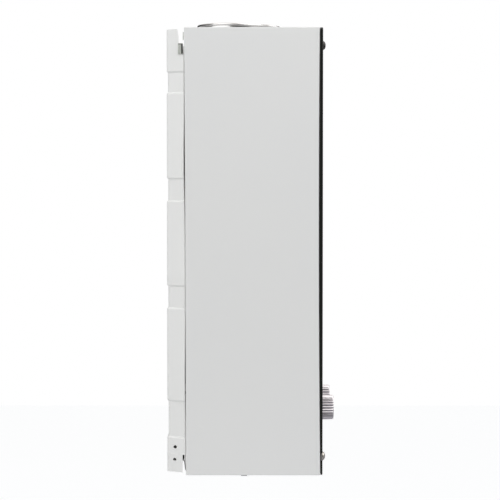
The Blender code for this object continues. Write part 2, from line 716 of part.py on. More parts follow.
def flange_cutters():
    """The notches at the flanges' corners and the small holes low in the flanges."""
    low = PLATE_TOP - NOTCH_HEIGHT
    rear = FLANGE_DEPTH - NOTCH_REACH
    notch = [(-rear, low), (-rear, PLATE_TOP - NOTCH_CHAMFER), (NOTCH_SLANT - rear, PLATE_TOP),
             (NOTCH_SLANT - rear, PLATE_TOP + OVERRUN), (-COVER_SETBACK, PLATE_TOP + OVERRUN),
             (-COVER_SETBACK, low)]
    cutters = [as_mesh(plate("flange_notch", [notch], CASE_WIDTH, (0, 0, 0), turn="side"))]
    foot_size = (CASE_WIDTH, FOOT_NOTCH_REACH + SEAM, FOOT_NOTCH_HEIGHT + OVERRUN)
    foot_depth = FLANGE_DEPTH - (FOOT_NOTCH_REACH - SEAM) / 2
    foot_height = -PLATE_TOP + (FOOT_NOTCH_HEIGHT - OVERRUN) / 2
    cutters.append(block("flange_foot_notch", foot_size, spot(0, foot_depth, foot_height)))
    for index, height in enumerate(FLANGE_HOLE_HEIGHTS):
        cutters.append(rod(f"flange_hole_{index + 1}", FLANGE_HOLE_RADIUS, CASE_WIDTH,
                           spot(0, FLANGE_HOLE_DEPTH, height - PLATE_TOP), turn="side", sides=12))
    return cutters


def cover_skin():
    """The front cover's outer surface: a box open at its rear and foot, with lips turned in there.

    Its rear edge leans, further from the wall at the foot than at the top.
    """
    bm = bmesh.new()
    depth = CASE_DEPTH - COVER_SETBACK
    matrix = (Matrix.Translation(spot(0, COVER_SETBACK + depth / 2, 0))
              @ Matrix.Diagonal((CASE_WIDTH, depth, CASE_HEIGHT, 1.0)))
    bmesh.ops.create_cube(bm, size=1.0, matrix=matrix)
    rear = [face for face in bm.faces if face.normal.y > FACING_SHARE]
    foot = [face for face in bm.faces if face.normal.z < -FACING_SHARE]
    bmesh.ops.delete(bm, geom=rear + foot, context="FACES")
    rim = [edge for edge in bm.edges if edge.is_boundary]
    half = CASE_WIDTH / 2
    at_rear = {edge for edge in rim if all(abs(v.co.y + COVER_SETBACK) < WELD for v in edge.verts)}
    for edges, rear_lip in ((list(at_rear), True), ([e for e in rim if e not in at_rear], False)):
        made = bmesh.ops.extrude_edge_only(bm, edges=edges)["geom"]
        for vert in (item for item in made if isinstance(item, bmesh.types.BMVert)):
            vert.co.x = math.copysign(half - COVER_LIP, vert.co.x)
            if rear_lip and vert.co.z > 0:
                vert.co.z -= COVER_LIP
            elif not rear_lip and vert.co.y < -CASE_DEPTH + WELD:
                vert.co.y += COVER_LIP
    for vert in (item for item in bm.verts if abs(item.co.y + COVER_SETBACK) < WELD):
        vert.co.y -= COVER_LEAN * (CASE_HEIGHT / 2 - vert.co.z) / CASE_HEIGHT
    bmesh.ops.remove_doubles(bm, verts=bm.verts, dist=WELD)
    return bm


def build_front_cover():
    """The white steel cover, with its openings for the flue, spindles, display and screws."""
    cover = add("front_cover", mesh_from("front_cover", cover_skin()), (0, 0, 0), "up", "white_enamel")
    round_edges(cover, COVER_BEND)
    thicken(cover, SHEET)
    flue = rod("flue_opening", COLLAR_RADIUS + FLUE_CLEARANCE, 2 * OVERRUN,
               spot(0, FLUE_DEPTH, CASE_HEIGHT / 2), sides=36)
    spindles = rod("spindle_openings", SPINDLE_RADIUS + SPINDLE_CLEARANCE, 2 * OVERRUN,
                   spot(0, CASE_DEPTH, KNOB_HEIGHT), turn="front", copies=((GAS_X, 0, 0), (WATER_X, 0, 0)))
    window = block("display_opening", (DISPLAY_WINDOW[0], 2 * OVERRUN, DISPLAY_WINDOW[1]),
                   spot(0, CASE_DEPTH, KNOB_HEIGHT))
    screws = rod("screw_openings", SCREW_RADIUS + HOLE_CLEARANCE, 2 * OVERRUN, spot(0, CASE_DEPTH, 0),
                 turn="front", sides=12, copies=[(x, z, 0) for x, z in glass_screw_places()])
    foot = rod("cover_screw_openings", COVER_SCREW_RADIUS + HOLE_CLEARANCE, 2 * OVERRUN,
               spot(0, CASE_DEPTH - COVER_SCREW_INSET, -CASE_HEIGHT / 2), sides=12,
               copies=[(sign * COVER_SCREW_SPACING / 2, 0, 0) for sign in (-1, 1)])
    cut(cover, flue, spindles, window, screws, foot)


def build_cover_hooks():
    """The bent tabs behind the cover that hang it on the back plate's notches."""
    height = PLATE_TOP - NOTCH_HEIGHT + HOOK_HEIGHT / 2 + GAP
    outer = PLATE_FLAT_WIDTH / 2 + FLANGE_SPREAD - HOOK_SHEET
    front = FLANGE_DEPTH + SEAM - GAP - HOOK_SHEET / 2
    for side, sign in (("left", -1), ("right", 1)):
        path = [(sign * (outer - HOOK_FOOT), -front), (sign * outer, -front),
                (sign * outer, -(front - HOOK_REACH + HOOK_SHEET))]
        strip("cover_hook_" + side, path, HOOK_HEIGHT, (0, 0, height), "galvanised", HOOK_SHEET)


def glass_screw_places():
    """Across and up, the places of the glass panel's four screws."""
    x = CASE_WIDTH / 2 - SCREW_INSET
    z = CASE_HEIGHT / 2 - SCREW_INSET
    return [(-x, z), (x, z), (-x, -z), (x, -z)]


def build_glass():
    """The black glass panel with its four domed screws."""
    outline = rounded_outline(rectangle(CASE_WIDTH, CASE_HEIGHT), GLASS_CORNER, 3)
    holes = [circle(SCREW_RADIUS + HOLE_CLEARANCE, 12, x, z) for x, z in glass_screw_places()]
    holes += [circle(SPINDLE_RADIUS + SPINDLE_CLEARANCE, 16, x, KNOB_HEIGHT) for x in (GAS_X, WATER_X)]
    plate("glass_panel", [outline, *holes], GLASS_THICKNESS, spot(0, GLASS_REAR + GLASS_THICKNESS / 2, 0),
          "black_glass", "front")
    dome = [(SCREW_HEAD_RADIUS * math.sin(angle), SCREW_HEAD_HEIGHT * math.cos(angle))
            for angle in (QUARTER * step / 3 for step in range(4))]
    shank = GLASS_THICKNESS + SHEET + SCREW_REACH
    profile = dome + [(SCREW_RADIUS, 0), (SCREW_RADIUS, -shank), (0, -shank)]
    for number, (x, z) in enumerate(glass_screw_places(), 1):
        turned(f"glass_screw_{number}", profile, spot(x, GLASS_FRONT + GAP, z), "dark_screw", "front",
               steps=16)


def knob_ring(radius, height, flute):
    """One ring of points round a knob, with its flutes this deep."""
    count = KNOB_FLUTES * KNOB_FLUTE_STEPS
    ring = []
    for index in range(count):
        angle = 2 * math.pi * index / count
        reach = radius - flute * (1 - math.cos(KNOB_FLUTES * angle)) / 2
        ring.append((reach * math.cos(angle), reach * math.sin(angle), height))
    return ring


def build_knob(name, across):
    """A fluted knob, with a rounded rim, a dished face, a mark at its top and a socket for its spindle."""
    face_radius = KNOB_RADIUS * KNOB_DRAFT_SHARE - KNOB_RIM
    rings = [knob_ring(KNOB_RADIUS, 0, KNOB_FLUTE),
             knob_ring(KNOB_RADIUS * KNOB_DRAFT_SHARE, KNOB_LENGTH - KNOB_RIM, KNOB_FLUTE),
             knob_ring(face_radius, KNOB_LENGTH, 0),
             knob_ring(face_radius - 2 * KNOB_RIM, KNOB_LENGTH - KNOB_DISH, 0)]
    bm = bmesh.new()
    bmesh.ops.create_cone(bm, cap_ends=True, segments=len(rings[0]), radius1=KNOB_RADIUS, radius2=KNOB_RADIUS,
                          depth=KNOB_LENGTH)
    rear = next(face for face in bm.faces if face.normal.z < -FACING_SHARE)
    front = next(face for face in bm.faces if face.normal.z > FACING_SHARE)
    shape_ring(rear, rings[0])
    shape_ring(front, rings[1])
    for ring in rings[2:]:
        made = bmesh.ops.extrude_face_region(bm, geom=[front])["geom"]
        if front.is_valid:
            bmesh.ops.delete(bm, geom=[front], context="FACES_ONLY")
        front = next(item for item in made if isinstance(item, bmesh.types.BMFace))
        shape_ring(front, ring)
    knob = add(name, mesh_from(name, bm), spot(across, KNOB_REAR, KNOB_HEIGHT), "front", "satin_chrome")
    socket = rod(name + "_socket", SPINDLE_RADIUS + GAP, KNOB_SOCKET + OVERRUN,
                 spot(across, KNOB_REAR + (KNOB_SOCKET - OVERRUN) / 2, KNOB_HEIGHT), turn="front")
    mark_height = KNOB_HEIGHT + face_radius - KNOB_MARK[1] / 2
    mark = block(name + "_mark", (KNOB_MARK[0], KNOB_MARK[2] + OVERRUN, KNOB_MARK[1]),
                 spot(across, KNOB_REAR + KNOB_LENGTH + (OVERRUN - KNOB_MARK[2]) / 2, mark_height))
    return cut(knob, socket, mark)


def shape_ring(face, ring):
    """Moves an end face's points to a ring's, each to the point at its own angle."""
    count = len(ring)
    for vert in face.verts:
        turn = math.atan2(vert.co.y, vert.co.x) / (2 * math.pi)
        vert.co = ring[round(turn * count) % count]


def build_controls():
    """Both knobs, each with its seal ring and its spindle on the joint's axis."""
    sink = VALVE_FRONT + VALVE_BOSS_LENGTH - SPINDLE_SINK
    tip = KNOB_REAR + KNOB_SOCKET - GAP
    bore = SPINDLE_RADIUS + SPINDLE_CLEARANCE
    ring = [(SEAL_RADIUS, SEAL_THICKNESS), (SEAL_RADIUS, 0), (bore, 0), (bore, SEAL_THICKNESS)]
    for kind, across in (("gas", GAS_X), ("water", WATER_X)):
        knob = build_knob(kind + "_knob", across)
        spindle = rod(kind + "_spindle", SPINDLE_RADIUS, tip - sink,
                      spot(across, (tip + sink) / 2, KNOB_HEIGHT), "brass", "front")
        turned(kind + "_knob_seal", ring, spot(across, GLASS_FRONT + GAP, KNOB_HEIGHT), "black_rubber",
               "front", steps=24)
        carry(axis_empty(kind + "_knob_axis", spot(across, KNOB_REAR, KNOB_HEIGHT)), knob, spindle)


def build_display():
    """The display module on the inside of the cover."""
    depth = CASE_DEPTH - SHEET - GAP - DISPLAY_SIZE[1] / 2
    block("display_module", DISPLAY_SIZE, spot(0, depth, KNOB_HEIGHT), "black_plastic", SHEET)


def build_flue():
    """The flue collar on the draught hood."""
    base = HOOD_TOP + GAP
    rise = CASE_HEIGHT / 2 + COLLAR_RISE - base
    inner = COLLAR_RADIUS - COLLAR_WALL
    bead = COLLAR_RADIUS + COLLAR_BEAD
    profile = [(COLLAR_RADIUS, rise), (bead, rise - COLLAR_BEAD), (bead, rise - 3 * COLLAR_BEAD),
               (COLLAR_RADIUS, rise - 4 * COLLAR_BEAD), (COLLAR_RADIUS, SHEET),
               (COLLAR_RADIUS + COLLAR_FLANGE, SHEET), (COLLAR_RADIUS + COLLAR_FLANGE, 0),
               (inner, 0), (inner, rise)]
    turned("flue_collar", profile, spot(0, FLUE_DEPTH, base), "galvanised", steps=36)


def build_hood():
    """The draught hood: a straight rim, tapered sides with spill openings and an outlet in its top."""
    bm = bmesh.new()
    rim_size = Matrix.Diagonal((EXCHANGER_WIDTH, EXCHANGER_DEPTH, HOOD_RIM, 1.0))
    bmesh.ops.create_cube(bm, size=1.0, matrix=rim_size)
    top = next(face for face in bm.faces if face.normal.z > FACING_SHARE)
    foot = [face for face in bm.faces if face.normal.z < -FACING_SHARE]
    made = bmesh.ops.extrude_face_region(bm, geom=[top])["geom"]
    for vert in (item for item in made if isinstance(item, bmesh.types.BMVert)):
        vert.co.x = math.copysign(HOOD_TOP_WIDTH / 2, vert.co.x)
        vert.co.y = math.copysign(HOOD_TOP_DEPTH / 2, vert.co.y)
        vert.co.z = HOOD_HEIGHT - HOOD_RIM / 2
    bmesh.ops.delete(bm, geom=[face for face in (top, *foot) if face.is_valid], context="FACES_ONLY")
    hood = add("draught_hood", mesh_from("draught_hood", bm),
               spot(0, FLUE_DEPTH, HOOD_BOTTOM + HOOD_RIM / 2), "up", "galvanised")
    thicken(hood, SHEET)
    outlet = rod("hood_outlet", HOOD_OUTLET_RADIUS, 2 * OVERRUN, spot(0, FLUE_DEPTH, HOOD_TOP),
                 sides=36)
    spill_size = (SPILL_SIZE[0], HOOD_TOP_DEPTH + OVERRUN, SPILL_SIZE[1])
    spill = block("spill_openings", spill_size, spot(0, FLUE_DEPTH, HOOD_BOTTOM + SPILL_RAISE))
    cut(hood, outlet, spill)


def fin_copies():
    """Offsets of the fins across the exchanger."""
    span = EXCHANGER_WIDTH - 2 * END_PLATE
    return [(span * ((index + 1) / (FIN_COUNT + 1) - 0.5), 0, 0) for index in range(FIN_COUNT)]


def fin_tube_depth(index):
    """Depth of one of the three straight tubes through the fins."""
    return FLUE_DEPTH + (index - 1) * FIN_TUBE_PITCH


def return_bend(name, first, sign):
    """A bend outside an end plate that joins one straight tube to the next."""
    start = sign * (EXCHANGER_WIDTH - END_PLATE) / 2
    reach = sign * (EXCHANGER_WIDTH / 2 + RETURN_BEND_REACH)
    near = fin_tube_depth(first)
    far = fin_tube_depth(first + 1)
    path = [spot(across, depth, FIN_TUBE_HEIGHT)
            for across, depth in ((start, near), (reach, near), (reach, far), (start, far))]
    return as_mesh(tube(name, rounded_path(path, PIPE_BEND), PIPE_RADIUS))


def build_fin_stack():
    """The fin block: fins and end plates on three straight tubes, with return bends between the tubes."""
    middle = spot(0, FLUE_DEPTH, FIN_TUBE_HEIGHT)
    fins = block("fin_stack", (FIN_THICKNESS, EXCHANGER_DEPTH, FIN_HEIGHT), middle, "copper",
                 copies=fin_copies())
    wall = (EXCHANGER_WIDTH - END_PLATE) / 2
    plates = block("end_plates", (END_PLATE, EXCHANGER_DEPTH, FIN_HEIGHT), middle,
                   copies=[(-wall, 0, 0), (wall, 0, 0)])
    helpers = [plates]
    for index, (start, end) in enumerate(((-TUBE_END, wall), (-wall, wall), (-wall, TUBE_END))):
        place = spot((start + end) / 2, fin_tube_depth(index), FIN_TUBE_HEIGHT)
        helpers.append(rod(f"fin_tube_{index + 1}", FIN_TUBE_RADIUS, end - start, place, turn="side",
                           sides=8))
    helpers.append(return_bend("return_bend_right", 0, 1))
    helpers.append(return_bend("return_bend_left", 1, -1))
    unite(fins, *helpers)


def coil_path():
    """The pipe round the combustion chamber: a riser, a helix with round corners and a riser to the fins."""
    start = spot(COIL_X, VALVE_DEPTH, COLD_RISER_TOP + GAP)
    path = [start, spot(COIL_X, VALVE_DEPTH, COIL_START - COIL_RISE / 4)]
    signs = ((1, -1), (-1, -1), (-1, 1), (1, 1))
    for index in range(COIL_CORNERS):
        side, front = signs[index % len(signs)]
        height = COIL_START + index * COIL_RISE / len(signs)
        path.append(spot(side * COIL_X, FLUE_DEPTH + front * COIL_Y, height))
    riser = -(COIL_X + RISER_OFFSET)
    depth = fin_tube_depth(0)
    top = COIL_START + COIL_CORNERS * COIL_RISE / len(signs)
    path += [spot(riser, depth, top), spot(riser, depth, FIN_TUBE_HEIGHT),
             spot(-TUBE_END - GAP, depth, FIN_TUBE_HEIGHT)]
    return path


def build_exchanger():
    """The combustion chamber, the coil round it and the pipes to and from it."""
    sleeve("combustion_chamber", EXCHANGER_WIDTH, EXCHANGER_DEPTH, CHAMBER_HEIGHT,
           spot(0, FLUE_DEPTH, (CHAMBER_TOP + CHAMBER_BOTTOM) / 2), "copper", CHAMBER_CORNER)
    tube("chamber_coil", rounded_path(coil_path(), PIPE_BEND, 3), PIPE_RADIUS, "copper")
    riser = COIL_X + RISER_OFFSET + PIPE_RADIUS
    last = fin_tube_depth(2)
    hot = [spot(TUBE_END + GAP, last, FIN_TUBE_HEIGHT), spot(riser, last, FIN_TUBE_HEIGHT),
           spot(riser, last, OUTLET_TOP + 4 * PIPE_BEND),
           spot(OUTLET_PLACE, VALVE_DEPTH, OUTLET_TOP + 2 * PIPE_BEND),
           spot(OUTLET_PLACE, VALVE_DEPTH, OUTLET_TOP + GAP)]
    tube("hot_pipe", rounded_path(hot, PIPE_BEND), PIPE_RADIUS, "copper")
    port = VALVE_BOTTOM + COLD_PORT_RAISE
    cold = [spot(WATER_RIGHT + GAP, VALVE_DEPTH, port), spot(COIL_X, VALVE_DEPTH, port),
            spot(COIL_X, VALVE_DEPTH, COLD_RISER_TOP)]
    tube("cold_pipe", rounded_path(cold, PIPE_BEND), PIPE_RADIUS, "copper")


def bar_places():
    """Places of the burner bars across the frame."""
    pitch = (EXCHANGER_WIDTH - 2 * SHEET) / BAR_COUNT
    return [pitch * (index + 0.5 - BAR_COUNT / 2) for index in range(BAR_COUNT)]


def build_burner():
    """The burner frame with its bars on two rails."""
    frame = sleeve("burner_frame", EXCHANGER_WIDTH, EXCHANGER_DEPTH, FRAME_HEIGHT,
                   spot(0, FLUE_DEPTH, (FRAME_TOP + FRAME_BOTTOM) / 2), "stainless", COVER_BEND)
    front = spot(0, EXCHANGER_FRONT, MANIFOLD_HEIGHT)
    window = block("frame_window", (FRAME_WINDOW[0], 2 * OVERRUN, FRAME_WINDOW[1]), front)
    electrodes = rod("electrode_openings", ELECTRODE_RADIUS + GAP, 2 * OVERRUN,
                     spot(0, EXCHANGER_FRONT, BAR_TOP + ELECTRODE_RAISE), turn="front", sides=16,
                     copies=[(sign * ELECTRODE_SPACING / 2, 0, 0) for sign in (-1, 1)])
    cut(frame, window, electrodes)
    outlines = [[Vector((x + BAR_WIDTH * across, BAR_HEIGHT * up)) for across, up in BAR_SHARES]
                for x in bar_places()]
    bars = as_mesh(plate("burner_bars", outlines, BAR_DEPTH, spot(0, FLUE_DEPTH, BAR_TOP - BAR_HEIGHT),
                         "stainless", "front"), "stainless")
    width = EXCHANGER_WIDTH - 2 * SHEET - 2 * GAP
    offset = (BAR_DEPTH - RAIL_SIZE[0]) / 2 - RAIL_SIZE[0]
    rail_height = BAR_TOP - BAR_HEIGHT + RAIL_SIZE[1]
    rails = block("burner_rails", (width, *RAIL_SIZE), spot(0, FLUE_DEPTH, rail_height),
                  copies=[(0, offset, 0), (0, -offset, 0)])
    unite(bars, rails)


def build_manifold():
    """The gas manifold with an injector for each burner bar, and the pipe that feeds it."""
    place = spot(0, MANIFOLD_DEPTH, MANIFOLD_HEIGHT)
    manifold = block("gas_manifold", MANIFOLD_SIZE, place, "cast_alloy", SHEET)
    back = MANIFOLD_SIZE[1] / 2
    injectors = rod("injectors", INJECTOR_RADIUS, INJECTOR_LENGTH + back, place, turn="front", sides=8,
                    copies=[(x, 0, -(back + INJECTOR_LENGTH) / 2) for x in bar_places()])
    lug_length = MANIFOLD_STANDOFF - GAP + back
    lug_offset = (MANIFOLD_SIZE[0] - MANIFOLD_LUG) / 2
    lugs = block("manifold_lugs", (MANIFOLD_LUG, lug_length, MANIFOLD_LUG), place,
                 copies=[(-lug_offset, lug_length / 2, 0), (lug_offset, lug_length / 2, 0)])
    unite(manifold, injectors, lugs)
    top = GAS_BODY_TOP + PORT_LENGTH + GAP
    under = MANIFOLD_HEIGHT - MANIFOLD_SIZE[2] / 2 - GAP
    middle = (top + under) / 2
    path = [spot(GAS_X, VALVE_DEPTH, top), spot(GAS_X, VALVE_DEPTH, middle - PIPE_BEND),
            spot(GAS_X, MANIFOLD_DEPTH, middle + PIPE_BEND), spot(GAS_X, MANIFOLD_DEPTH, under)]
    tube("gas_pipe", rounded_path(path, PIPE_BEND), PIPE_RADIUS - SHEET, "copper")


def build_electrodes():
    """The ignition electrode and the flame sensor, in the front of the burner frame."""
    proud = ELECTRODE_LENGTH * ELECTRODE_PROUD_SHARE
    collar = ELECTRODE_RADIUS + ELECTRODE_COLLAR
    profile = [(0, proud), (ELECTRODE_RADIUS, proud), (ELECTRODE_RADIUS, ELECTRODE_COLLAR + GAP),
               (collar, ELECTRODE_COLLAR + GAP), (collar, GAP), (ELECTRODE_RADIUS, GAP),
               (ELECTRODE_RADIUS, proud - ELECTRODE_LENGTH), (ELECTRODE_TIP_RADIUS, proud - ELECTRODE_LENGTH),
               (ELECTRODE_TIP_RADIUS, proud - ELECTRODE_LENGTH - ELECTRODE_TIP_LENGTH),
               (0, proud - ELECTRODE_LENGTH - ELECTRODE_TIP_LENGTH)]
    for name, sign in (("ignition_electrode", -1), ("flame_sensor", 1)):
        turned(name, profile, spot(sign * ELECTRODE_SPACING / 2, EXCHANGER_FRONT, BAR_TOP + ELECTRODE_RAISE),
               "ceramic", "front", steps=12)


def build_gas_valve():
    """The gas valve: a cast body with a boss for its spindle, a port above and its solenoid."""
    height = GAS_BODY_TOP - VALVE_BOTTOM
    body = block("gas_valve_body", (GAS_BODY_WIDTH, VALVE_THICKNESS, height),
                 spot(GAS_X, VALVE_DEPTH, (GAS_BODY_TOP + VALVE_BOTTOM) / 2), "cast_alloy", VALVE_BEVEL)
    boss = rod("gas_boss", VALVE_BOSS_RADIUS, 2 * VALVE_BOSS_LENGTH, spot(GAS_X, VALVE_FRONT, KNOB_HEIGHT),
               turn="front")
    port = rod("gas_port", PORT_RADIUS, 2 * PORT_LENGTH, spot(GAS_X, VALVE_DEPTH, GAS_BODY_TOP))
    unite(body, boss, port)
    stem_bore = rod("gas_stem_bore", STEM_RADIUS + STEM_CLEARANCE, STEM_BORE_LENGTH + OVERRUN,
                    spot(GAS_RIGHT - (STEM_BORE_LENGTH - OVERRUN) / 2, VALVE_DEPTH, STEM_HEIGHT), turn="side")
    cut(body, spindle_bore("gas", GAS_X), stem_bore)
    rod("solenoid_valve", SOLENOID_RADIUS, SOLENOID_LENGTH,
        spot(GAS_LEFT - GAP - SOLENOID_LENGTH / 2, VALVE_DEPTH, STEM_HEIGHT), "black_plastic", "side")


def spindle_bore(kind, across):
    """The bore in a valve's front boss that its spindle turns in."""
    front = VALVE_FRONT + VALVE_BOSS_LENGTH
    length = SPINDLE_SINK + SPINDLE_CLEARANCE + OVERRUN
    return rod(kind + "_spindle_bore", SPINDLE_RADIUS + GAP, length,
               spot(across, front - (SPINDLE_SINK + SPINDLE_CLEARANCE - OVERRUN) / 2, KNOB_HEIGHT),
               turn="front")


def build_water_valve():
    """The water valve: a brass body with a round diaphragm housing, the housing's cover and the diaphragm."""
    height = WATER_BODY_TOP - VALVE_BOTTOM
    body = block("water_valve_body", (WATER_BODY_WIDTH, VALVE_THICKNESS, height),
                 spot(WATER_X, VALVE_DEPTH, (WATER_BODY_TOP + VALVE_BOTTOM) / 2), "brass", VALVE_BEVEL)
    housing = rod("diaphragm_housing", HOUSING_RADIUS, HOUSING_WIDTH,
                  spot(HOUSING_LEFT + HOUSING_WIDTH / 2, VALVE_DEPTH, STEM_HEIGHT), turn="side", sides=24)
    boss = rod("water_boss", VALVE_BOSS_RADIUS, 2 * VALVE_BOSS_LENGTH,
               spot(WATER_X, VALVE_FRONT, KNOB_HEIGHT), turn="front")
    unite(body, housing, boss)
    cavity = rod("housing_cavity", CAVITY_RADIUS, 2 * CAVITY_DEPTH,
                 spot(HOUSING_LEFT, VALVE_DEPTH, STEM_HEIGHT), turn="side")
    cut(body, cavity, spindle_bore("water", WATER_X))
    rod("diaphragm", HOUSING_RADIUS, DIAPHRAGM_THICKNESS,
        spot(DIAPHRAGM_LEFT + DIAPHRAGM_THICKNESS / 2, VALVE_DEPTH, STEM_HEIGHT), "black_rubber", "side",
        sides=24)
    bore = STEM_RADIUS + STEM_CLEARANCE
    thick = DIAPHRAGM_COVER_THICKNESS
    end = -thick - DIAPHRAGM_BOSS_LENGTH
    profile = [(HOUSING_RADIUS, 0), (HOUSING_RADIUS, -thick), (DIAPHRAGM_BOSS_RADIUS, -thick),
               (DIAPHRAGM_BOSS_RADIUS, end), (bore, end), (bore, -CAVITY_DEPTH),
               (CAVITY_RADIUS, -CAVITY_DEPTH), (CAVITY_RADIUS, 0)]
    turned("diaphragm_cover", profile, spot(COVER_RIGHT, VALVE_DEPTH, STEM_HEIGHT), "brass", "side",
           steps=24)
    rod("drain_plug", DRAIN_RADIUS, DRAIN_LENGTH,
        spot(WATER_RIGHT + GAP + DRAIN_LENGTH / 2, VALVE_DEPTH, VALVE_BOTTOM + DRAIN_RAISE), "brass", "side",
        sides=6)


def build_stem():
    """The valve stem that the diaphragm pushes, with its plate and the cone that lifts the switch lever."""
    ramp_end = TRIP_START - TRIP_RAMP
    profile = [(STEM_PLATE_RADIUS, 0), (STEM_PLATE_RADIUS, -STEM_PLATE_THICKNESS),
               (STEM_RADIUS, -STEM_PLATE_THICKNESS), (STEM_RADIUS, -ramp_end + TRIP_LENGTH - TRIP_RAMP),
               (TRIP_RADIUS, -ramp_end + TRIP_LENGTH - TRIP_RAMP), (TRIP_RADIUS, -ramp_end),
               (STEM_RADIUS, -TRIP_START), (STEM_RADIUS, -STEM_LENGTH)]
    stem = turned("valve_stem", [(0, 0), *profile, (0, -STEM_LENGTH)],
                  spot(STEM_RIGHT, VALVE_DEPTH, STEM_HEIGHT), "stainless", "side", steps=16)
    carry(axis_empty("stem_axis", spot(STEM_RIGHT, VALVE_DEPTH, STEM_HEIGHT)), stem)


def switch_pivot():
    """Place of the switch lever's pivot."""
    across = GAS_RIGHT + GAP + LEVER_PIVOT_INSET
    foot = STEM_HEIGHT + cone_radius(across + LEVER_LENGTH) + GAP + LEVER_FOOT_RADIUS
    return spot(across, VALVE_DEPTH, foot)


def cone_radius(across):
    """Radius of the stem's trip cone at rest, at this place across."""
    start = STEM_RIGHT - TRIP_START
    share = min(max((across + LEVER_FOOT_RADIUS - start) / TRIP_RAMP, 0.0), 1.0)
    return STEM_RADIUS + (TRIP_RADIUS - STEM_RADIUS) * share


def build_switch():
    """The microswitch on the gas valve and the lever that the stem lifts."""
    pivot = switch_pivot()
    bottom = pivot.z + LEVER_DROP
    across = GAS_RIGHT + GAP + SWITCH_SIZE[0] / 2
    switch = block("microswitch", SWITCH_SIZE, spot(across, VALVE_DEPTH, bottom + SWITCH_SIZE[2] / 2),
                   "black_plastic")
    ear_offset = (SWITCH_SIZE[1] - SWITCH_EAR[1]) / 2
    ears = block("switch_ears", SWITCH_EAR, pivot + Vector((0, 0, SWITCH_EAR[2] / 4)),
                 copies=[(0, ear_offset, 0), (0, -ear_offset, 0)])
    unite(switch, ears)
    width = SWITCH_SIZE[1] - 2 * SWITCH_EAR[1] - 2 * GAP
    lever = rod("switch_lever", LEVER_BARREL_RADIUS, width, pivot, "stainless", "front", sides=10)
    arm = block("lever_arm", (LEVER_LENGTH, width, LEVER_SHEET), pivot + Vector((LEVER_LENGTH / 2, 0, 0)))
    foot = rod("lever_foot", LEVER_FOOT_RADIUS, width, pivot + Vector((LEVER_LENGTH, 0, 0)), turn="front",
               sides=10)
    unite(lever, arm, foot)
    carry(axis_empty("switch_lever_axis", pivot), lever)


def fitting(name, across, top, look):
    """A threaded connector down through the bottom panel, with the lock nut that clamps it there."""
    collar_bottom = PANEL_TOP + GAP
    profile = [(FITTING_RADIUS, top), (FITTING_RADIUS, collar_bottom + FITTING_COLLAR),
               (FITTING_COLLAR_RADIUS, collar_bottom + FITTING_COLLAR),
               (FITTING_COLLAR_RADIUS, collar_bottom), (FITTING_RADIUS, collar_bottom),
               (FITTING_RADIUS, FITTING_END), (FITTING_BORE, FITTING_END), (FITTING_BORE, top)]
    turned(name, profile, spot(across, VALVE_DEPTH, 0), look, steps=16)
    corner = NUT_WIDTH / math.sqrt(3)
    middle = PANEL_BOTTOM - GAP - NUT_HEIGHT / 2
    plate(name + "_nut", [circle(corner, 6), circle(FITTING_RADIUS + GAP, 16)], NUT_HEIGHT,
          spot(across, VALVE_DEPTH, middle), "brass")


def build_fittings():
    """The three connectors at the foot."""
    fitting("gas_inlet", GAS_X, VALVE_BOTTOM - GAP, "brass")
    fitting("water_inlet", WATER_X, VALVE_BOTTOM - GAP, "brass")
    fitting("water_outlet", OUTLET_PLACE, OUTLET_TOP, "brass")


def bracket(name, width, height, place, front, look):
    """A bent bracket on the back plate that reaches a depth: a web on the plate, two arms and two feet."""
    rear = SHEET + GAP + BRACKET_SHEET / 2
    foot = front - GAP - BRACKET_SHEET / 2
    half = width / 2
    path = [(BRACKET_FOOT - half, -foot), (-half, -foot), (-half, -rear), (half, -rear), (half, -foot),
            (half - BRACKET_FOOT, -foot)]
    strip(name, path, height, (0, 0, place), look, BRACKET_SHEET)


def build_brackets():
    """The brackets that carry the valves and the heat exchanger on the back plate."""
    bracket("valve_bracket", VALVE_BRACKET_WIDTH, BRACKET_HEIGHT,
            VALVE_BRACKET_PLACE - BRACKET_HEIGHT / 2, VALVE_REAR, "galvanised")
    bracket("exchanger_bracket", EXCHANGER_BRACKET_WIDTH, EXCHANGER_BRACKET_HEIGHT,
            EXCHANGER_BRACKET_PLACE, EXCHANGER_REAR, "galvanised")


def build_sensors():
    """The overheat thermostat on the hot pipe and the flue sensor on the hood."""
    across = COIL_X + RISER_OFFSET + 2 * PIPE_RADIUS + GAP + SENSOR_SIZE[0] / 2
    block("overheat_thermostat", SENSOR_SIZE, spot(across, fin_tube_depth(2), THERMOSTAT_PLACE),
          "black_plastic")
    depth = EXCHANGER_FRONT + GAP + FLUE_SENSOR_THICKNESS / 2
    rod("flue_sensor", FLUE_SENSOR_RADIUS, FLUE_SENSOR_THICKNESS,
        spot(EXCHANGER_WIDTH / 3, depth, HOOD_BOTTOM + HOOD_RIM / 2), "black_plastic", "front")


def routed(*stretches):
    """A lead's points: hand chosen offsets across, forwards and up from each stretch's place."""
    return [place + spot(*offset) for place, offsets in stretches for offset in offsets]


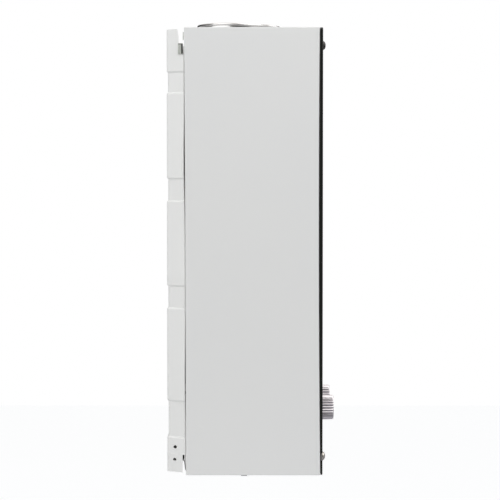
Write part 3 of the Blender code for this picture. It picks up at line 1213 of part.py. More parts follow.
def build_electrics():
    """The ignition module on the back plate and the leads to the electrodes and the battery case."""
    depth = SHEET + GAP + MODULE_DEPTH / 2
    block("ignition_module", MODULE_SIZE, spot(MODULE_X, depth, MODULE_MIDDLE), "grey_plastic", SHEET)
    top = spot(MODULE_X, depth, MODULE_MIDDLE + MODULE_HEIGHT / 2 + GAP)
    foot = spot(MODULE_X, depth, MODULE_MIDDLE - MODULE_HEIGHT / 2 - GAP)
    corner = spot(-EXCHANGER_WIDTH / 2, EXCHANGER_FRONT, BAR_TOP)
    roof = spot(BATTERY_PLACE, BATTERY_DEPTH, CASE_ROOF + GAP)
    height = BAR_TOP + ELECTRODE_RAISE
    side = ELECTRODE_SPACING / 2
    end = ((0, ELECTRODE_LENGTH * ELECTRODE_PROUD_SHARE + GAP, 0),)
    ignition = routed((top, IGNITION_RISE), (corner, IGNITION_BEND),
                      (spot(-side, EXCHANGER_FRONT, height), IGNITION_DROP + end))
    sensor = routed((top, SENSOR_RISE), (corner, SENSOR_BEND),
                    (spot(side, EXCHANGER_FRONT, height), SENSOR_DROP + end))
    battery = routed((roof, BATTERY_RISE), (foot, BATTERY_BEND))
    leads = (("ignition_lead", ignition, "red_lead"), ("sensor_lead", sensor, "black_rubber"),
             ("battery_lead", battery, "black_rubber"))
    for name, route, look in leads:
        tube(name, smooth_route(route), LEAD_RADIUS, look)


def build_battery_case():
    """The battery case: open below, with a flange on the bottom panel and ears for its cover's hinge."""
    height = CASE_ROOF - CASE_MOUTH
    middle = (CASE_ROOF + CASE_MOUTH) / 2
    case = block("battery_case", (*CASE_OUTER, height), spot(BATTERY_PLACE, BATTERY_DEPTH, middle),
                 "grey_plastic")
    flange_size = (CASE_OUTER[0] + 2 * BATTERY_FLANGE, CASE_OUTER[1] + 2 * BATTERY_FLANGE, BATTERY_WALL)
    flange = block("case_flange", flange_size,
                   spot(BATTERY_PLACE, BATTERY_DEPTH, PANEL_TOP + GAP + BATTERY_WALL / 2))
    ear_reach = CASE_OUTER[0] / 2 - DOOR_EAR[0] / 2
    ear_depth = DOOR_AXIS_DEPTH - DOOR_BARREL_RADIUS + DOOR_EAR[1] / 2
    ear_height = DOOR_AXIS_HEIGHT - DOOR_EAR[0] + DOOR_EAR[2] / 2
    ears = block("door_ears", DOOR_EAR, spot(BATTERY_PLACE, ear_depth, ear_height),
                 copies=[(-ear_reach, 0, 0), (ear_reach, 0, 0)])
    hollow = block("case_hollow", (*CASE_INNER, height),
                   spot(BATTERY_PLACE, BATTERY_DEPTH, middle - BATTERY_WALL))
    pin = rod("door_pin_bore", DOOR_PIN_RADIUS + DOOR_RUNNING_GAP, CASE_OUTER[0] + OVERRUN,
              spot(BATTERY_PLACE, DOOR_AXIS_DEPTH, DOOR_AXIS_HEIGHT), turn="side", sides=12)
    unite(case, flange, ears)
    cut(case, hollow, pin)


def build_battery_cover():
    """The battery cover, which swings down on its pins, with its contact strip."""
    axis = spot(BATTERY_PLACE, DOOR_AXIS_DEPTH, DOOR_AXIS_HEIGHT)
    length = BATTERY_DEPTH + CASE_OUTER[1] / 2 - DOOR_AXIS_DEPTH
    width = CASE_OUTER[0] - 2 * DOOR_EAR[0] - 2 * DOOR_RUNNING_GAP
    door = rod("battery_cover", DOOR_BARREL_RADIUS, width, axis, "white_plastic", "side", sides=12)
    leaf = block("door_leaf", (width, length, DOOR_THICKNESS), axis - Vector((0, length / 2, 0)))
    pin = rod("door_pins", DOOR_PIN_RADIUS, width + 2 * DOOR_PIN_LENGTH, axis, turn="side", sides=12)
    tab = block("door_tab", DOOR_TAB, axis - Vector((0, length, DOOR_TAB[2] / 2 - DOOR_THICKNESS / 2)))
    strip_size = (CASE_INNER[0] - 2 * CELL_ROOM - 2 * DOOR_EAR[0], CASE_INNER[1] - 4 * CELL_ROOM,
                  2 * CONTACT_SHEET)
    contact = block("cover_contact", strip_size, spot(BATTERY_PLACE, BATTERY_DEPTH, DOOR_TOP))
    unite(door, leaf, pin, tab, contact)
    carry(axis_empty("battery_cover_axis", axis), door)


def build_cells():
    """Two cells side by side, and the contact strip above them."""
    edge = CELL_RADIUS - CELL_EDGE
    tip = CELL_LENGTH + CELL_NUB
    profile = [(0, tip), (CELL_NUB_RADIUS, tip), (CELL_NUB_RADIUS, CELL_LENGTH), (edge, CELL_LENGTH),
               (CELL_RADIUS, CELL_LENGTH - CELL_EDGE), (CELL_RADIUS, CELL_EDGE), (edge, 0), (0, 0)]
    offset = CELL_RADIUS + CELL_ROOM / 2
    for number, sign in ((1, -1), (2, 1)):
        turned(f"battery_{number}", profile, spot(BATTERY_PLACE, BATTERY_DEPTH + sign * offset, CELL_BOTTOM),
               "cell_jacket", steps=16)
    block("upper_contact", (CASE_INNER[0] - 2 * CELL_ROOM, CASE_INNER[1] - 2 * CELL_ROOM, CONTACT_SHEET),
          spot(BATTERY_PLACE, BATTERY_DEPTH, CASE_ROOF - BATTERY_WALL - GAP - CONTACT_SHEET / 2), "stainless")


def build_bottom_panel():
    """The bottom panel, with its holes and air slots, and the screws that hold the cover to it."""
    front = CASE_DEPTH - PANEL_SIDE_ROOM
    wide = CASE_WIDTH / 2 - PANEL_SIDE_ROOM
    tongue = PANEL_TONGUE / 2
    step = COVER_SETBACK + COVER_LEAN + SHEET + PANEL_STEP_ROOM
    outline = [(-tongue, -step), (-wide, -step), (-wide, -front), (wide, -front), (wide, -step),
               (tongue, -step), (tongue, -PANEL_REAR), (-tongue, -PANEL_REAR)]
    holes = [circle(FITTING_RADIUS + HOLE_CLEARANCE, 16, x, -VALVE_DEPTH)
             for x in (GAS_X, WATER_X, OUTLET_PLACE)]
    holes.append(rectangle(CASE_OUTER[0] + 2 * HOLE_CLEARANCE, CASE_OUTER[1] + 2 * HOLE_CLEARANCE,
                           BATTERY_PLACE, -BATTERY_DEPTH))
    screw_depth = CASE_DEPTH - COVER_SCREW_INSET
    screws = [sign * COVER_SCREW_SPACING / 2 for sign in (-1, 1)]
    holes += [circle(COVER_SCREW_RADIUS + GAP, 12, x, -screw_depth) for x in screws]
    for depth in AIR_SLOT_DEPTHS:
        for index in range(AIR_SLOT_COUNT):
            x = AIR_SLOT_PITCH * (index - (AIR_SLOT_COUNT - 1) / 2)
            holes.append(rectangle(*AIR_SLOT_SIZE, x, -depth))
    plate("bottom_panel", [outline, *holes], SHEET, (0, 0, (PANEL_TOP + PANEL_BOTTOM) / 2),
          "white_enamel")
    head = COVER_SCREW_HEAD
    wide_head = COVER_SCREW_HEAD_RADIUS
    profile = [(0, COVER_SCREW_LENGTH), (COVER_SCREW_RADIUS, COVER_SCREW_LENGTH), (COVER_SCREW_RADIUS, 0),
               (wide_head, 0), (wide_head, -head / 2), (wide_head / 2, -head), (0, -head)]
    for side, x in zip(("left", "right"), screws):
        turned("cover_screw_" + side, profile, spot(x, screw_depth, -CASE_HEIGHT / 2 - GAP), "galvanised",
               steps=12)


def main():
    """Builds the whole heater."""
    clear_scene()
    for name in (PARTS, CUTTERS):
        bpy.context.scene.collection.children.link(bpy.data.collections.new(name))
    for build in (build_back_plate, build_front_cover, build_cover_hooks, build_glass, build_controls,
                  build_display, build_flue, build_hood, build_fin_stack, build_exchanger, build_burner,
                  build_manifold, build_electrodes, build_gas_valve, build_water_valve, build_stem,
                  build_switch, build_fittings, build_brackets, build_sensors, build_electrics,
                  build_battery_case, build_battery_cover, build_cells, build_bottom_panel):
        build()


main()
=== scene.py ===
"""Looks of a wall hung gas water heater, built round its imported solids.

Metres, +Z up, wall at Y = 0, front facing -Y. Each sub-assembly is a class that builds its pieces as surfaces
worked out with numpy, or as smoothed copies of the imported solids, and dresses them in procedural finishes.
"""

import logging
import math
from collections.abc import Iterator
from contextlib import contextmanager
from dataclasses import dataclass, field
from enum import Enum
from functools import cache

import bmesh
import bpy
import numpy as np
from mathutils import Euler, Matrix, Vector


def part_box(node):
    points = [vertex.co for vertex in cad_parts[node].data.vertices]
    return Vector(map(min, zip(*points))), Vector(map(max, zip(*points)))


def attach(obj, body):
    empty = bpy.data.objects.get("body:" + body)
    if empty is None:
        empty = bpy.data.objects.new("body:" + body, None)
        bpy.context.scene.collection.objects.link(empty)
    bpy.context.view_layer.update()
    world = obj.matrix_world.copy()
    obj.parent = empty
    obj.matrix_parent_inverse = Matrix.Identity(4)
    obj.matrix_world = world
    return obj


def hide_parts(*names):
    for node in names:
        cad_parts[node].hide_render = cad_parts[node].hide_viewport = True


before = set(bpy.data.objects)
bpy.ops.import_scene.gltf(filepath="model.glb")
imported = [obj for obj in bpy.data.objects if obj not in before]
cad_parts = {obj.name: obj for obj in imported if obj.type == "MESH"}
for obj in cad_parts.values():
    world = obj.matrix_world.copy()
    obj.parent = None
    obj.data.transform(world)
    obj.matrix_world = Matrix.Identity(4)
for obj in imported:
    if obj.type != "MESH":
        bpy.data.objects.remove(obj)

LOG = logging.getLogger("water_heater")
FULL_TURN = 2 * math.pi
WELD = 0.00001
FINE_WELD = 0.000002
FLAT_ANGLE = math.radians(0.5)
CREASE = 38.0
CORNER_STEPS = 6
# Corner and edge radius of a thin strip, in thicknesses
STRIP_ROUND = (0.6, 0.3)
WHITE = (1.0, 1.0, 1.0, 1.0)
# The joint of cover and glass: start, slope and curve of how far it stands forward, by height
FRONT_BOW = (-0.00054, -0.00251, 0.0182)
# Heights of the level cuts that let long faces follow such curves
LEVELS = tuple(np.linspace(-0.2650, 0.2650, 40).tolist())
CHASSIS = "chassis"

Triple = tuple[float, float, float]
Colour = tuple[float, float, float, float]


class Axis(Enum):
    """Axes that a piece ends about."""

    Y = "y"
    Z = "z"


# Shader nodes


@dataclass
class Nodes:
    """A node tree, with short ways to add the nodes that finishes and studio are made of."""

    tree: bpy.types.NodeTree

    def add(self, node: str | bpy.types.Node, values: dict[object, object]) -> bpy.types.Node:
        """Links a node's inputs to sockets, or sets them to numbers or colours.

        Args:
            node: The node, or the type of a new one.
            values: What each input, by name or index, is linked or set to.

        Returns:
            The node.
        """
        node = self.tree.nodes.new(node) if isinstance(node, str) else node
        for label, value in values.items():
            if isinstance(value, bpy.types.NodeSocket):
                self.tree.links.new(value, node.inputs[label])
            else:
                node.inputs[label].default_value = value
        return node

    def maths(self, operation: str, first: object, second: object) -> bpy.types.NodeSocket:
        """A Math node.

        Args:
            operation: Its operation.
            first: A socket or a number.
            second: A socket or a number.

        Returns:
            Its value socket.
        """
        node = self.tree.nodes.new("ShaderNodeMath")
        node.operation = operation
        return self.add(node, {0: first, 1: second}).outputs[0]

    def noise(self, vector: object, scale: object, detail: float) -> bpy.types.NodeSocket:
        """The value of a Noise Texture with that many octaves."""
        return self.add("ShaderNodeTexNoise", {"Vector": vector, "Scale": scale, "Detail": detail}).outputs["Fac"]

    def remap(self, value: object, limits: tuple[float, float]) -> bpy.types.NodeSocket:
        """A value carried to 0 at the lower limit and to 1 at the upper one, and held there beyond them."""
        values = {"Value": value, "From Min": limits[0], "From Max": limits[1]}
        return self.add("ShaderNodeMapRange", values).outputs["Result"]

    def mix(self, factor: object, first: object, second: object, blend: str = "MIX") -> bpy.types.NodeSocket:
        """Two colours, or sockets with colours, mixed by a factor.

        Args:
            factor: A socket or a number.
            first: What a factor of 0 gives.
            second: What is blended over it.
            blend: How it is blended.

        Returns:
            The colour socket.
        """
        node = self.tree.nodes.new("ShaderNodeMix")
        node.data_type = "RGBA"
        node.blend_type = blend
        return self.add(node, {"Factor": factor, "A": first, "B": second}).outputs["Result"]

    def group(self, group: bpy.types.NodeTree, values: dict[str, object]) -> dict[str, bpy.types.NodeSocket]:
        """Places a shared group.

        Args:
            group: The group.
            values: What each of its inputs is linked or set to.

        Returns:
            Its outputs.
        """
        node = self.tree.nodes.new("ShaderNodeGroup")
        node.node_tree = group
        return self.add(node, values).outputs


class Groups:
    """Shader node groups that several finishes share, each built once."""

    broad_scale = 0.06
    fine_share = 0.4
    cloud = (0.35, 0.70)
    upward = (0.4, 1.0)
    dust_scale = 60.0
    dust_tone = (0.42, 0.39, 0.34, 1.0)

    @staticmethod
    def start(name: str, inputs: dict[str, str], outputs: dict[str, str]) -> tuple:
        """Starts a group with its sockets.

        Args:
            name: The group's name.
            inputs: Kind of each input.
            outputs: Kind of each output.

        Returns:
            The group's nodes, its inputs' sockets and its output node.
        """
        tree = bpy.data.node_groups.new(name, "ShaderNodeTree")
        for way, sockets in (("INPUT", inputs), ("OUTPUT", outputs)):
            for label, kind in sockets.items():
                tree.interface.new_socket(name=label, in_out=way, socket_type="NodeSocket" + kind)
        return Nodes(tree), tree.nodes.new("NodeGroupInput").outputs, tree.nodes.new("NodeGroupOutput")

    @classmethod
    @cache
    def relief(cls) -> bpy.types.NodeTree:
        """Fine relief: even grain, stretched by the Mapping before it into brushing, and how rough it makes the place,
        which is the roughness plus the spread times the fine and the broad grain's mean less a half."""
        inputs = {"Vector": "Vector", "Scale": "Float", "Roughness": "Float", "Spread": "Float"}
        nodes, given, sink = cls.start("surface_relief", inputs, {"Height": "Float", "Roughness": "Float"})
        fine = nodes.noise(given["Vector"], given["Scale"], 3.0)
        broad = nodes.noise(given["Vector"], nodes.maths("MULTIPLY", given["Scale"], cls.broad_scale), 2.0)
        middle = nodes.maths("ADD", nodes.maths("MULTIPLY", fine, cls.fine_share),
                             nodes.maths("MULTIPLY", broad, 1 - cls.fine_share))
        offset = nodes.maths("MULTIPLY", nodes.maths("SUBTRACT", middle, 0.5), given["Spread"])
        nodes.add(sink, {"Height": fine, "Roughness": nodes.maths("ADD", given["Roughness"], offset)})
        return nodes.tree

    @classmethod
    @cache
    def stain(cls) -> bpy.types.NodeTree:
        """Broad colour drift: two tones mixed by soft cloudy noise, and a thin film of dust on what faces up."""
        inputs = {"Vector": "Vector", "Scale": "Float", "Amount": "Float", "Dust": "Float", "Tone": "Color",
                  "Drift": "Color"}
        nodes, given, sink = cls.start("tone_and_dust", inputs, {"Color": "Color", "Dust": "Float"})
        cloud = nodes.remap(nodes.noise(given["Vector"], given["Scale"], 4.0), cls.cloud)
        tones = nodes.mix(nodes.maths("MULTIPLY", cloud, given["Amount"]), given["Tone"], given["Drift"])
        normal = nodes.tree.nodes.new("ShaderNodeNewGeometry").outputs["Normal"]
        upward = nodes.remap(nodes.add("ShaderNodeSeparateXYZ", {"Vector": normal}).outputs["Z"], cls.upward)
        patchy = nodes.maths("MULTIPLY", upward, nodes.noise(given["Vector"], cls.dust_scale, 5.0))
        dusty = nodes.maths("MULTIPLY", patchy, given["Dust"])
        nodes.add(sink, {"Color": nodes.mix(dusty, tones, cls.dust_tone), "Dust": dusty})
        return nodes.tree

    @classmethod
    @cache
    def spangle(cls) -> bpy.types.NodeTree:
        """Zinc spangle: cells of slightly different brightness, as on galvanised sheet."""
        nodes, given, sink = cls.start("zinc_spangle", {"Vector": "Vector", "Scale": "Float"}, {"Mask": "Float"})
        cells = nodes.add("ShaderNodeTexVoronoi", {"Vector": given["Vector"], "Scale": given["Scale"]})
        split = nodes.add("ShaderNodeSeparateColor", {"Color": cells.outputs["Color"]})
        nodes.add(sink, {"Mask": split.outputs["Red"]})
        return nodes.tree


# How a finish's values work together: grain lengths per spangle cell, the cells' share and what dust adds
GRAINS_PER_CELL = 4
SPANGLE_SHARE = 0.22
DUST_ROUGHNESS = 0.5


@dataclass(frozen=True)
class Finish:
    """One finish: its tones, its gloss and its fine relief.

    Attributes:
        name: The material's name.
        slot: The record's material slot. Not used here.
        tone: Main colour, linear.
        drift: Colour that it drifts towards in broad patches.
        roughness: Middle roughness.
        metallic: 1 for bare metal.
        spangled: Whether it shows the cells of zinc plating.
        grain: Grain scale, per metre.
        depth: Bump distance in metres.
        stretch: Stretch of the grain along each axis, for brushing.
        spread: How much the roughness varies.
        amount: How far the colour drifts.
        patch: Scale of the broad patches, per metre.
        dust: Film of dust on upward faces.
        specular: Specular level, 0.5 for common materials.
        coat: Weight of a clear coat.
        coat_roughness: Roughness of that coat.
    """

    name: str
    slot: str
    tone: Triple
    drift: Triple
    roughness: float
    metallic: float = 0.0
    spangled: bool = False
    grain: float = 900.0
    depth: float = 0.00002
    stretch: Triple = (1.0, 1.0, 1.0)
    spread: float = 0.10
    amount: float = 0.5
    patch: float = 8.0
    dust: float = 0.05
    specular: float = 0.5
    coat: float = 0.0
    coat_roughness: float = 0.05

    def material(self) -> bpy.types.Material:
        """The finish's material, made once.

        Returns:
            The material.
        """
        if self.name in bpy.data.materials:
            return bpy.data.materials[self.name]
        material = bpy.data.materials.new(self.name)
        material.use_nodes = True
        nodes = Nodes(material.node_tree)
        place = nodes.tree.nodes.new("ShaderNodeTexCoord").outputs["Object"]
        tone = nodes.group(Groups.stain(), {
            "Vector": place, "Scale": self.patch, "Amount": self.amount, "Dust": self.dust,
            "Tone": (*self.tone, 1.0), "Drift": (*self.drift, 1.0)})
        colour = tone["Color"]
        if self.spangled:
            cells = nodes.group(Groups.spangle(), {"Vector": place, "Scale": self.grain / GRAINS_PER_CELL})
            colour = nodes.mix(SPANGLE_SHARE, colour, cells["Mask"], "MULTIPLY")
        mapping = nodes.add("ShaderNodeMapping", {"Vector": place, "Scale": self.stretch})
        grain = nodes.group(Groups.relief(), {
            "Vector": mapping.outputs["Vector"], "Scale": self.grain, "Roughness": self.roughness,
            "Spread": self.spread})
        dulled = nodes.maths("MULTIPLY", tone["Dust"], DUST_ROUGHNESS)
        bump = nodes.add("ShaderNodeBump", {"Height": grain["Height"], "Distance": self.depth, "Strength": 1.0})
        nodes.add(nodes.tree.nodes["Principled BSDF"], {
            "Base Color": colour, "Metallic": self.metallic, "Specular IOR Level": self.specular,
            "Coat Weight": self.coat, "Coat Roughness": self.coat_roughness, "Normal": bump.outputs["Normal"],
            "Roughness": nodes.maths("ADD", grain["Roughness"], dulled)})
        return material


ENAMEL = Finish("white_enamel", "enamel", (0.745, 0.745, 0.735), (0.725, 0.730, 0.728), 0.42,
                grain=1400.0, depth=0.000012, spread=0.08, amount=0.5, patch=5.0, dust=0.05, coat=0.15,
                coat_roughness=0.25)
# The same white enamel as the cover, painted lighter for the wall plate: painted light on the plate's flanges.
PLATE_ENAMEL_LIT = Finish("plate_enamel_painted_light", "enamel", (0.82, 0.82, 0.805), (0.805, 0.807, 0.792), 0.45,
                      grain=1200.0, depth=0.000015, spread=0.10, amount=0.5, patch=9.0, dust=0.08)
GLASS = Finish("black_glass", "panel_glass", (0.010, 0.011, 0.0095), (0.013, 0.014, 0.012), 0.06, spread=0.02,
               depth=0.000001, patch=30.0, dust=0.01, specular=0.35)
WINDOW = Finish("display_window", "panel_glass", (0.016, 0.015, 0.014), (0.020, 0.019, 0.018), 0.10, spread=0.02,
                depth=0.000001, patch=40.0, dust=0.0)
FIGURES = Finish("unlit_figures", "panel_glass", (0.055, 0.050, 0.044), (0.050, 0.046, 0.040), 0.30, spread=0.04,
                 depth=0.000001, patch=40.0, dust=0.0)
PRINT = Finish("dial_print", "panel_glass", (0.42, 0.42, 0.41), (0.36, 0.36, 0.35), 0.45, depth=0.000004, dust=0.0)
# One plated cap metal in two copies: a dark one for the top caps as painted shade, a bright one for the lower caps as
# painted reflection.
CAP_PAINTED_SHADE = Finish("cap_painted_shade", "screw_steel", (0.060, 0.056, 0.056), (0.040, 0.038, 0.038), 0.20, 1.0, depth=0.000002,
                  spread=0.10, patch=120.0)
CAP_PAINTED_REFLECTION = Finish("cap_painted_reflection", "screw_steel", (0.48, 0.455, 0.42), (0.36, 0.34, 0.31), 0.16, 1.0, depth=0.000002,
                    spread=0.10, patch=120.0)
CLIP = Finish("edge_clip", "screw_steel", (0.30, 0.29, 0.28), (0.24, 0.23, 0.22), 0.38, 0.8, depth=0.000003,
              spread=0.12, patch=90.0)
KNOB = Finish("satin_knob", "knob_metal", (0.62, 0.595, 0.615), (0.54, 0.52, 0.535), 0.32, 1.0,
              grain=1600.0, depth=0.000004, stretch=(1.0, 0.12, 1.0), spread=0.16, patch=80.0)
KNOB_MARK = Finish("knob_mark", "black_rubber", (0.03, 0.03, 0.03), (0.04, 0.04, 0.04), 0.5)
RUBBER = Finish("black_rubber", "black_rubber", (0.012, 0.012, 0.012), (0.020, 0.019, 0.019), 0.72,
                grain=2200.0, depth=0.00003, spread=0.15, patch=60.0)
ZINC = Finish("zinc_sheet", "galvanised", (0.56, 0.57, 0.58), (0.48, 0.49, 0.50), 0.30, 1.0, spangled=True,
              grain=900.0, depth=0.000008, spread=0.16, patch=14.0, dust=0.12)
PASSIVATED = Finish("passivated_tab", "galvanised", (0.60, 0.62, 0.57), (0.54, 0.56, 0.52), 0.46, 0.35,
                    spangled=True, grain=1200.0, depth=0.000006, spread=0.14, patch=60.0)
COLLAR = Finish("bright_collar", "galvanised", (0.62, 0.615, 0.61), (0.54, 0.535, 0.53), 0.20, 1.0,
                grain=500.0, depth=0.000010, stretch=(1.0, 1.0, 0.25), spread=0.14, patch=22.0)
COPPER = Finish("dull_copper", "copper", (0.70, 0.30, 0.17), (0.36, 0.16, 0.10), 0.34, 1.0,
                grain=700.0, depth=0.000010, stretch=(1.0, 1.0, 0.4), spread=0.22, amount=0.8, patch=26.0, dust=0.10)
BRASS = Finish("machined_brass", "brass", (0.72, 0.52, 0.22), (0.52, 0.36, 0.15), 0.30, 1.0,
               grain=1500.0, depth=0.000008, stretch=(1.0, 1.0, 0.3), spread=0.18, amount=0.7, patch=50.0)
STAINLESS = Finish("stainless_sheet", "stainless", (0.55, 0.53, 0.50), (0.46, 0.44, 0.41), 0.28, 1.0,
                   grain=1300.0, depth=0.000006, stretch=(0.15, 1.0, 1.0), spread=0.16,
                   patch=24.0)
CAST = Finish("cast_alloy", "cast_alloy", (0.44, 0.45, 0.46), (0.36, 0.37, 0.38), 0.52, 0.85,
              grain=1100.0, depth=0.00006, spread=0.18, patch=40.0, dust=0.10)
BLACK_PLASTIC = Finish("black_plastic", "black_plastic", (0.028, 0.028, 0.030), (0.040, 0.040, 0.042), 0.48,
                       grain=2600.0, depth=0.00002, spread=0.12, patch=50.0, dust=0.06)
GREY_PLASTIC = Finish("grey_plastic", "grey_plastic", (0.30, 0.31, 0.32), (0.26, 0.27, 0.28), 0.46,
                      grain=2200.0, depth=0.00002, spread=0.12, patch=40.0, dust=0.06)
WHITE_PLASTIC = Finish("white_plastic", "white_plastic", (0.70, 0.70, 0.68), (0.66, 0.66, 0.63), 0.40,
                       grain=2400.0, depth=0.000015, spread=0.10, patch=30.0, dust=0.04)
CERAMIC = Finish("white_ceramic", "ceramic", (0.78, 0.76, 0.71), (0.68, 0.64, 0.58), 0.42,
                 grain=3000.0, depth=0.00001, spread=0.10, patch=90.0)
RED_SLEEVE = Finish("red_sleeve", "red_lead", (0.42, 0.035, 0.028), (0.34, 0.030, 0.025), 0.42,
                    grain=2600.0, depth=0.000012, spread=0.12, patch=60.0)
JACKET = Finish("cell_jacket", "cell_jacket", (0.07, 0.12, 0.24), (0.05, 0.09, 0.18), 0.32, 0.3, depth=0.000004,
                spread=0.12, patch=50.0)


# Surfaces


@contextmanager
def editing(mesh: bpy.types.Mesh) -> Iterator[bmesh.types.BMesh]:
    """Opens a mesh for edits and writes them back at the end.

    Args:
        mesh: The mesh.

    Returns:
        Its editable form, inside a with block.
    """
    bm = bmesh.new()
    bm.from_mesh(mesh)
    yield bm
    bm.to_mesh(mesh)
    bm.free()


@dataclass
class Surface:
    """Grids of points gathered into one mesh.

    Attributes:
        points: Arrays of points, one per grid.
        faces: Arrays of quads, one per grid.
        count: How many points they have.
    """

    points: list[np.ndarray] = field(default_factory=list)
    faces: list[np.ndarray] = field(default_factory=list)
    count: int = 0

    def patch(self, grid: np.ndarray, wrap: bool = True) -> "Surface":
        """Adds a grid. Quad (i, j) joins points (i, j), (i, j + 1), (i + 1, j + 1) and (i + 1, j).

        Args:
            grid: Points, rows by columns by 3.
            wrap: Whether the last column joins the first.

        Returns:
            The surface itself.
        """
        rows, columns = grid.shape[:2]
        i, j = np.meshgrid(np.arange(rows - 1), np.arange(columns if wrap else columns - 1), indexing="ij")
        after = (j + 1) % columns
        quads = np.stack([i * columns + j, i * columns + after, (i + 1) * columns + after, (i + 1) * columns + j], -1)
        self.points.append(grid.reshape(-1, 3))
        self.faces.append(quads.reshape(-1, 4) + self.count)
        self.count += rows * columns
        return self

    def mesh(self, name: str, weld: float = WELD) -> bpy.types.Mesh:
        """The mesh of all grids, with doubles merged and faces turned outwards.

        Args:
            name: The mesh's name.
            weld: Distance within which points merge.

        Returns:
            The mesh.
        """
        mesh = bpy.data.meshes.new(name)
        mesh.from_pydata(np.concatenate(self.points), [], np.concatenate(self.faces).tolist())
        with editing(mesh) as bm:
            bmesh.ops.remove_doubles(bm, verts=bm.verts, dist=weld)
            bmesh.ops.dissolve_degenerate(bm, edges=bm.edges, dist=WELD / 2)
            bmesh.ops.recalc_face_normals(bm, faces=bm.faces)
        return mesh


def turn_about(grid: np.ndarray, axis: Axis, centre: Triple) -> np.ndarray:
    """Moves points made about +Z to their place, with +Z turned to -Y for Axis.Y.

    Args:
        grid: Points about the Z axis.
        axis: The axis they end about.
        centre: Where the origin goes.

    Returns:
        The moved points.
    """
    x, y, z = grid[..., 0], grid[..., 1], grid[..., 2]
    moved = (x, -z, y) if axis is Axis.Y else (x, y, z)
    return np.stack(moved, -1) + np.array(centre)


def lathe(profile: np.ndarray, steps: int) -> np.ndarray:
    """A surface of revolution about Z: point (s, t) is (r(s) cos t, r(s) sin t, z(s)).

    Args:
        profile: Radius and height, one row each.
        steps: Points round the axis.

    Returns:
        Its grid.
    """
    angle = np.linspace(0, FULL_TURN, steps, endpoint=False)
    radius, height = profile[:, 0, None], profile[:, 1, None]
    return np.stack([radius * np.cos(angle), radius * np.sin(angle), height + 0 * angle], -1)


def rounded(points: list[tuple[float, float]], radius: float, steps: int = 4) -> np.ndarray:
    """An open profile with its inner corners rounded: each corner gives the quadratic arc between the two points
    that lie the radius, or half a side, away from it.

    Args:
        points: The profile's corners.
        radius: How far from a corner its arc starts.
        steps: Spans of each arc.

    Returns:
        The profile's points.
    """
    corners = np.array(points, float)
    before, corner, after = corners[:-2], corners[1:-1], corners[2:]
    side_in = np.linalg.norm(before - corner, axis=1)[:, None]
    side_out = np.linalg.norm(after - corner, axis=1)[:, None]
    start = corner + (before - corner) / side_in * np.minimum(radius, side_in / 2)
    end = corner + (after - corner) / side_out * np.minimum(radius, side_out / 2)
    t = np.linspace(0, 1, steps + 1)[None, :, None]
    arcs = (1 - t) ** 2 * start[:, None] + 2 * t * (1 - t) * corner[:, None] + t**2 * end[:, None]
    return np.concatenate([corners[:1], arcs.reshape(-1, 2), corners[-1:]])


def rounded_rectangle(width: float, height: float, radius: np.ndarray, inset: np.ndarray, steps: int) -> np.ndarray:
    """Outlines of one rectangle at several insets: corner (c, a) is the arc centre plus the radius at angle a.

    Args:
        width: Full width.
        height: Full height.
        radius: Corner radius at each inset.
        inset: How far each outline lies inside the full one.
        steps: Spans of each corner's arc.

    Returns:
        Outlines, one row each, of 2-D points.
    """
    angle = np.linspace(0, math.pi / 2, steps + 1)[None] + np.arange(4)[:, None] * math.pi / 2
    sign = np.array([(1, 1), (-1, 1), (-1, -1), (1, -1)])
    half = np.array([width, height])[None] / 2 - inset[:, None] - radius[:, None]
    centre = half[:, None, None, :] * sign[None, :, None, :]
    arm = np.stack([np.cos(angle), np.sin(angle)], -1)[None] * radius[:, None, None, None]
    return (centre + arm).reshape(len(inset), -1, 2)


def slab(width: float, height: float, thickness: float, corner: float, edge: float, steps: int = 5) -> np.ndarray:
    """A slab with round corners and round polished edges: its outline shrinks by a quarter circle at each face.

    Args:
        width: Full width, along x.
        height: Full height, along y.
        thickness: Along z, from 0 up.
        corner: Radius of its corners.
        edge: Radius of its edges.
        steps: Spans of each quarter circle.

    Returns:
        Its grid, whose first and last rows close its faces.
    """
    angle = np.linspace(0, math.pi / 2, steps + 1)
    rise = edge * (1 - np.cos(angle))
    shrink = edge * (1 - np.sin(angle))
    levels = np.concatenate([[0.0], rise, thickness - rise[::-1], [thickness]])
    inset = np.concatenate([[corner], shrink, shrink[::-1], [corner]])
    radius = np.maximum(corner - inset, WELD)
    outline = rounded_rectangle(width, height, radius, inset, CORNER_STEPS)
    height_row = np.broadcast_to(levels[:, None, None], (*outline.shape[:2], 1))
    return np.concatenate([outline, height_row], -1)


def closed(grid: np.ndarray) -> np.ndarray:
    """Closes a wrapped grid's two ends with a point at the middle of each end row.

    Args:
        grid: A grid that wraps.

    Returns:
        The grid with a collapsed row at each end.
    """
    first = np.broadcast_to(grid[0].mean(0), grid[0].shape)
    last = np.broadcast_to(grid[-1].mean(0), grid[-1].shape)
    return np.concatenate([first[None], grid, last[None]])


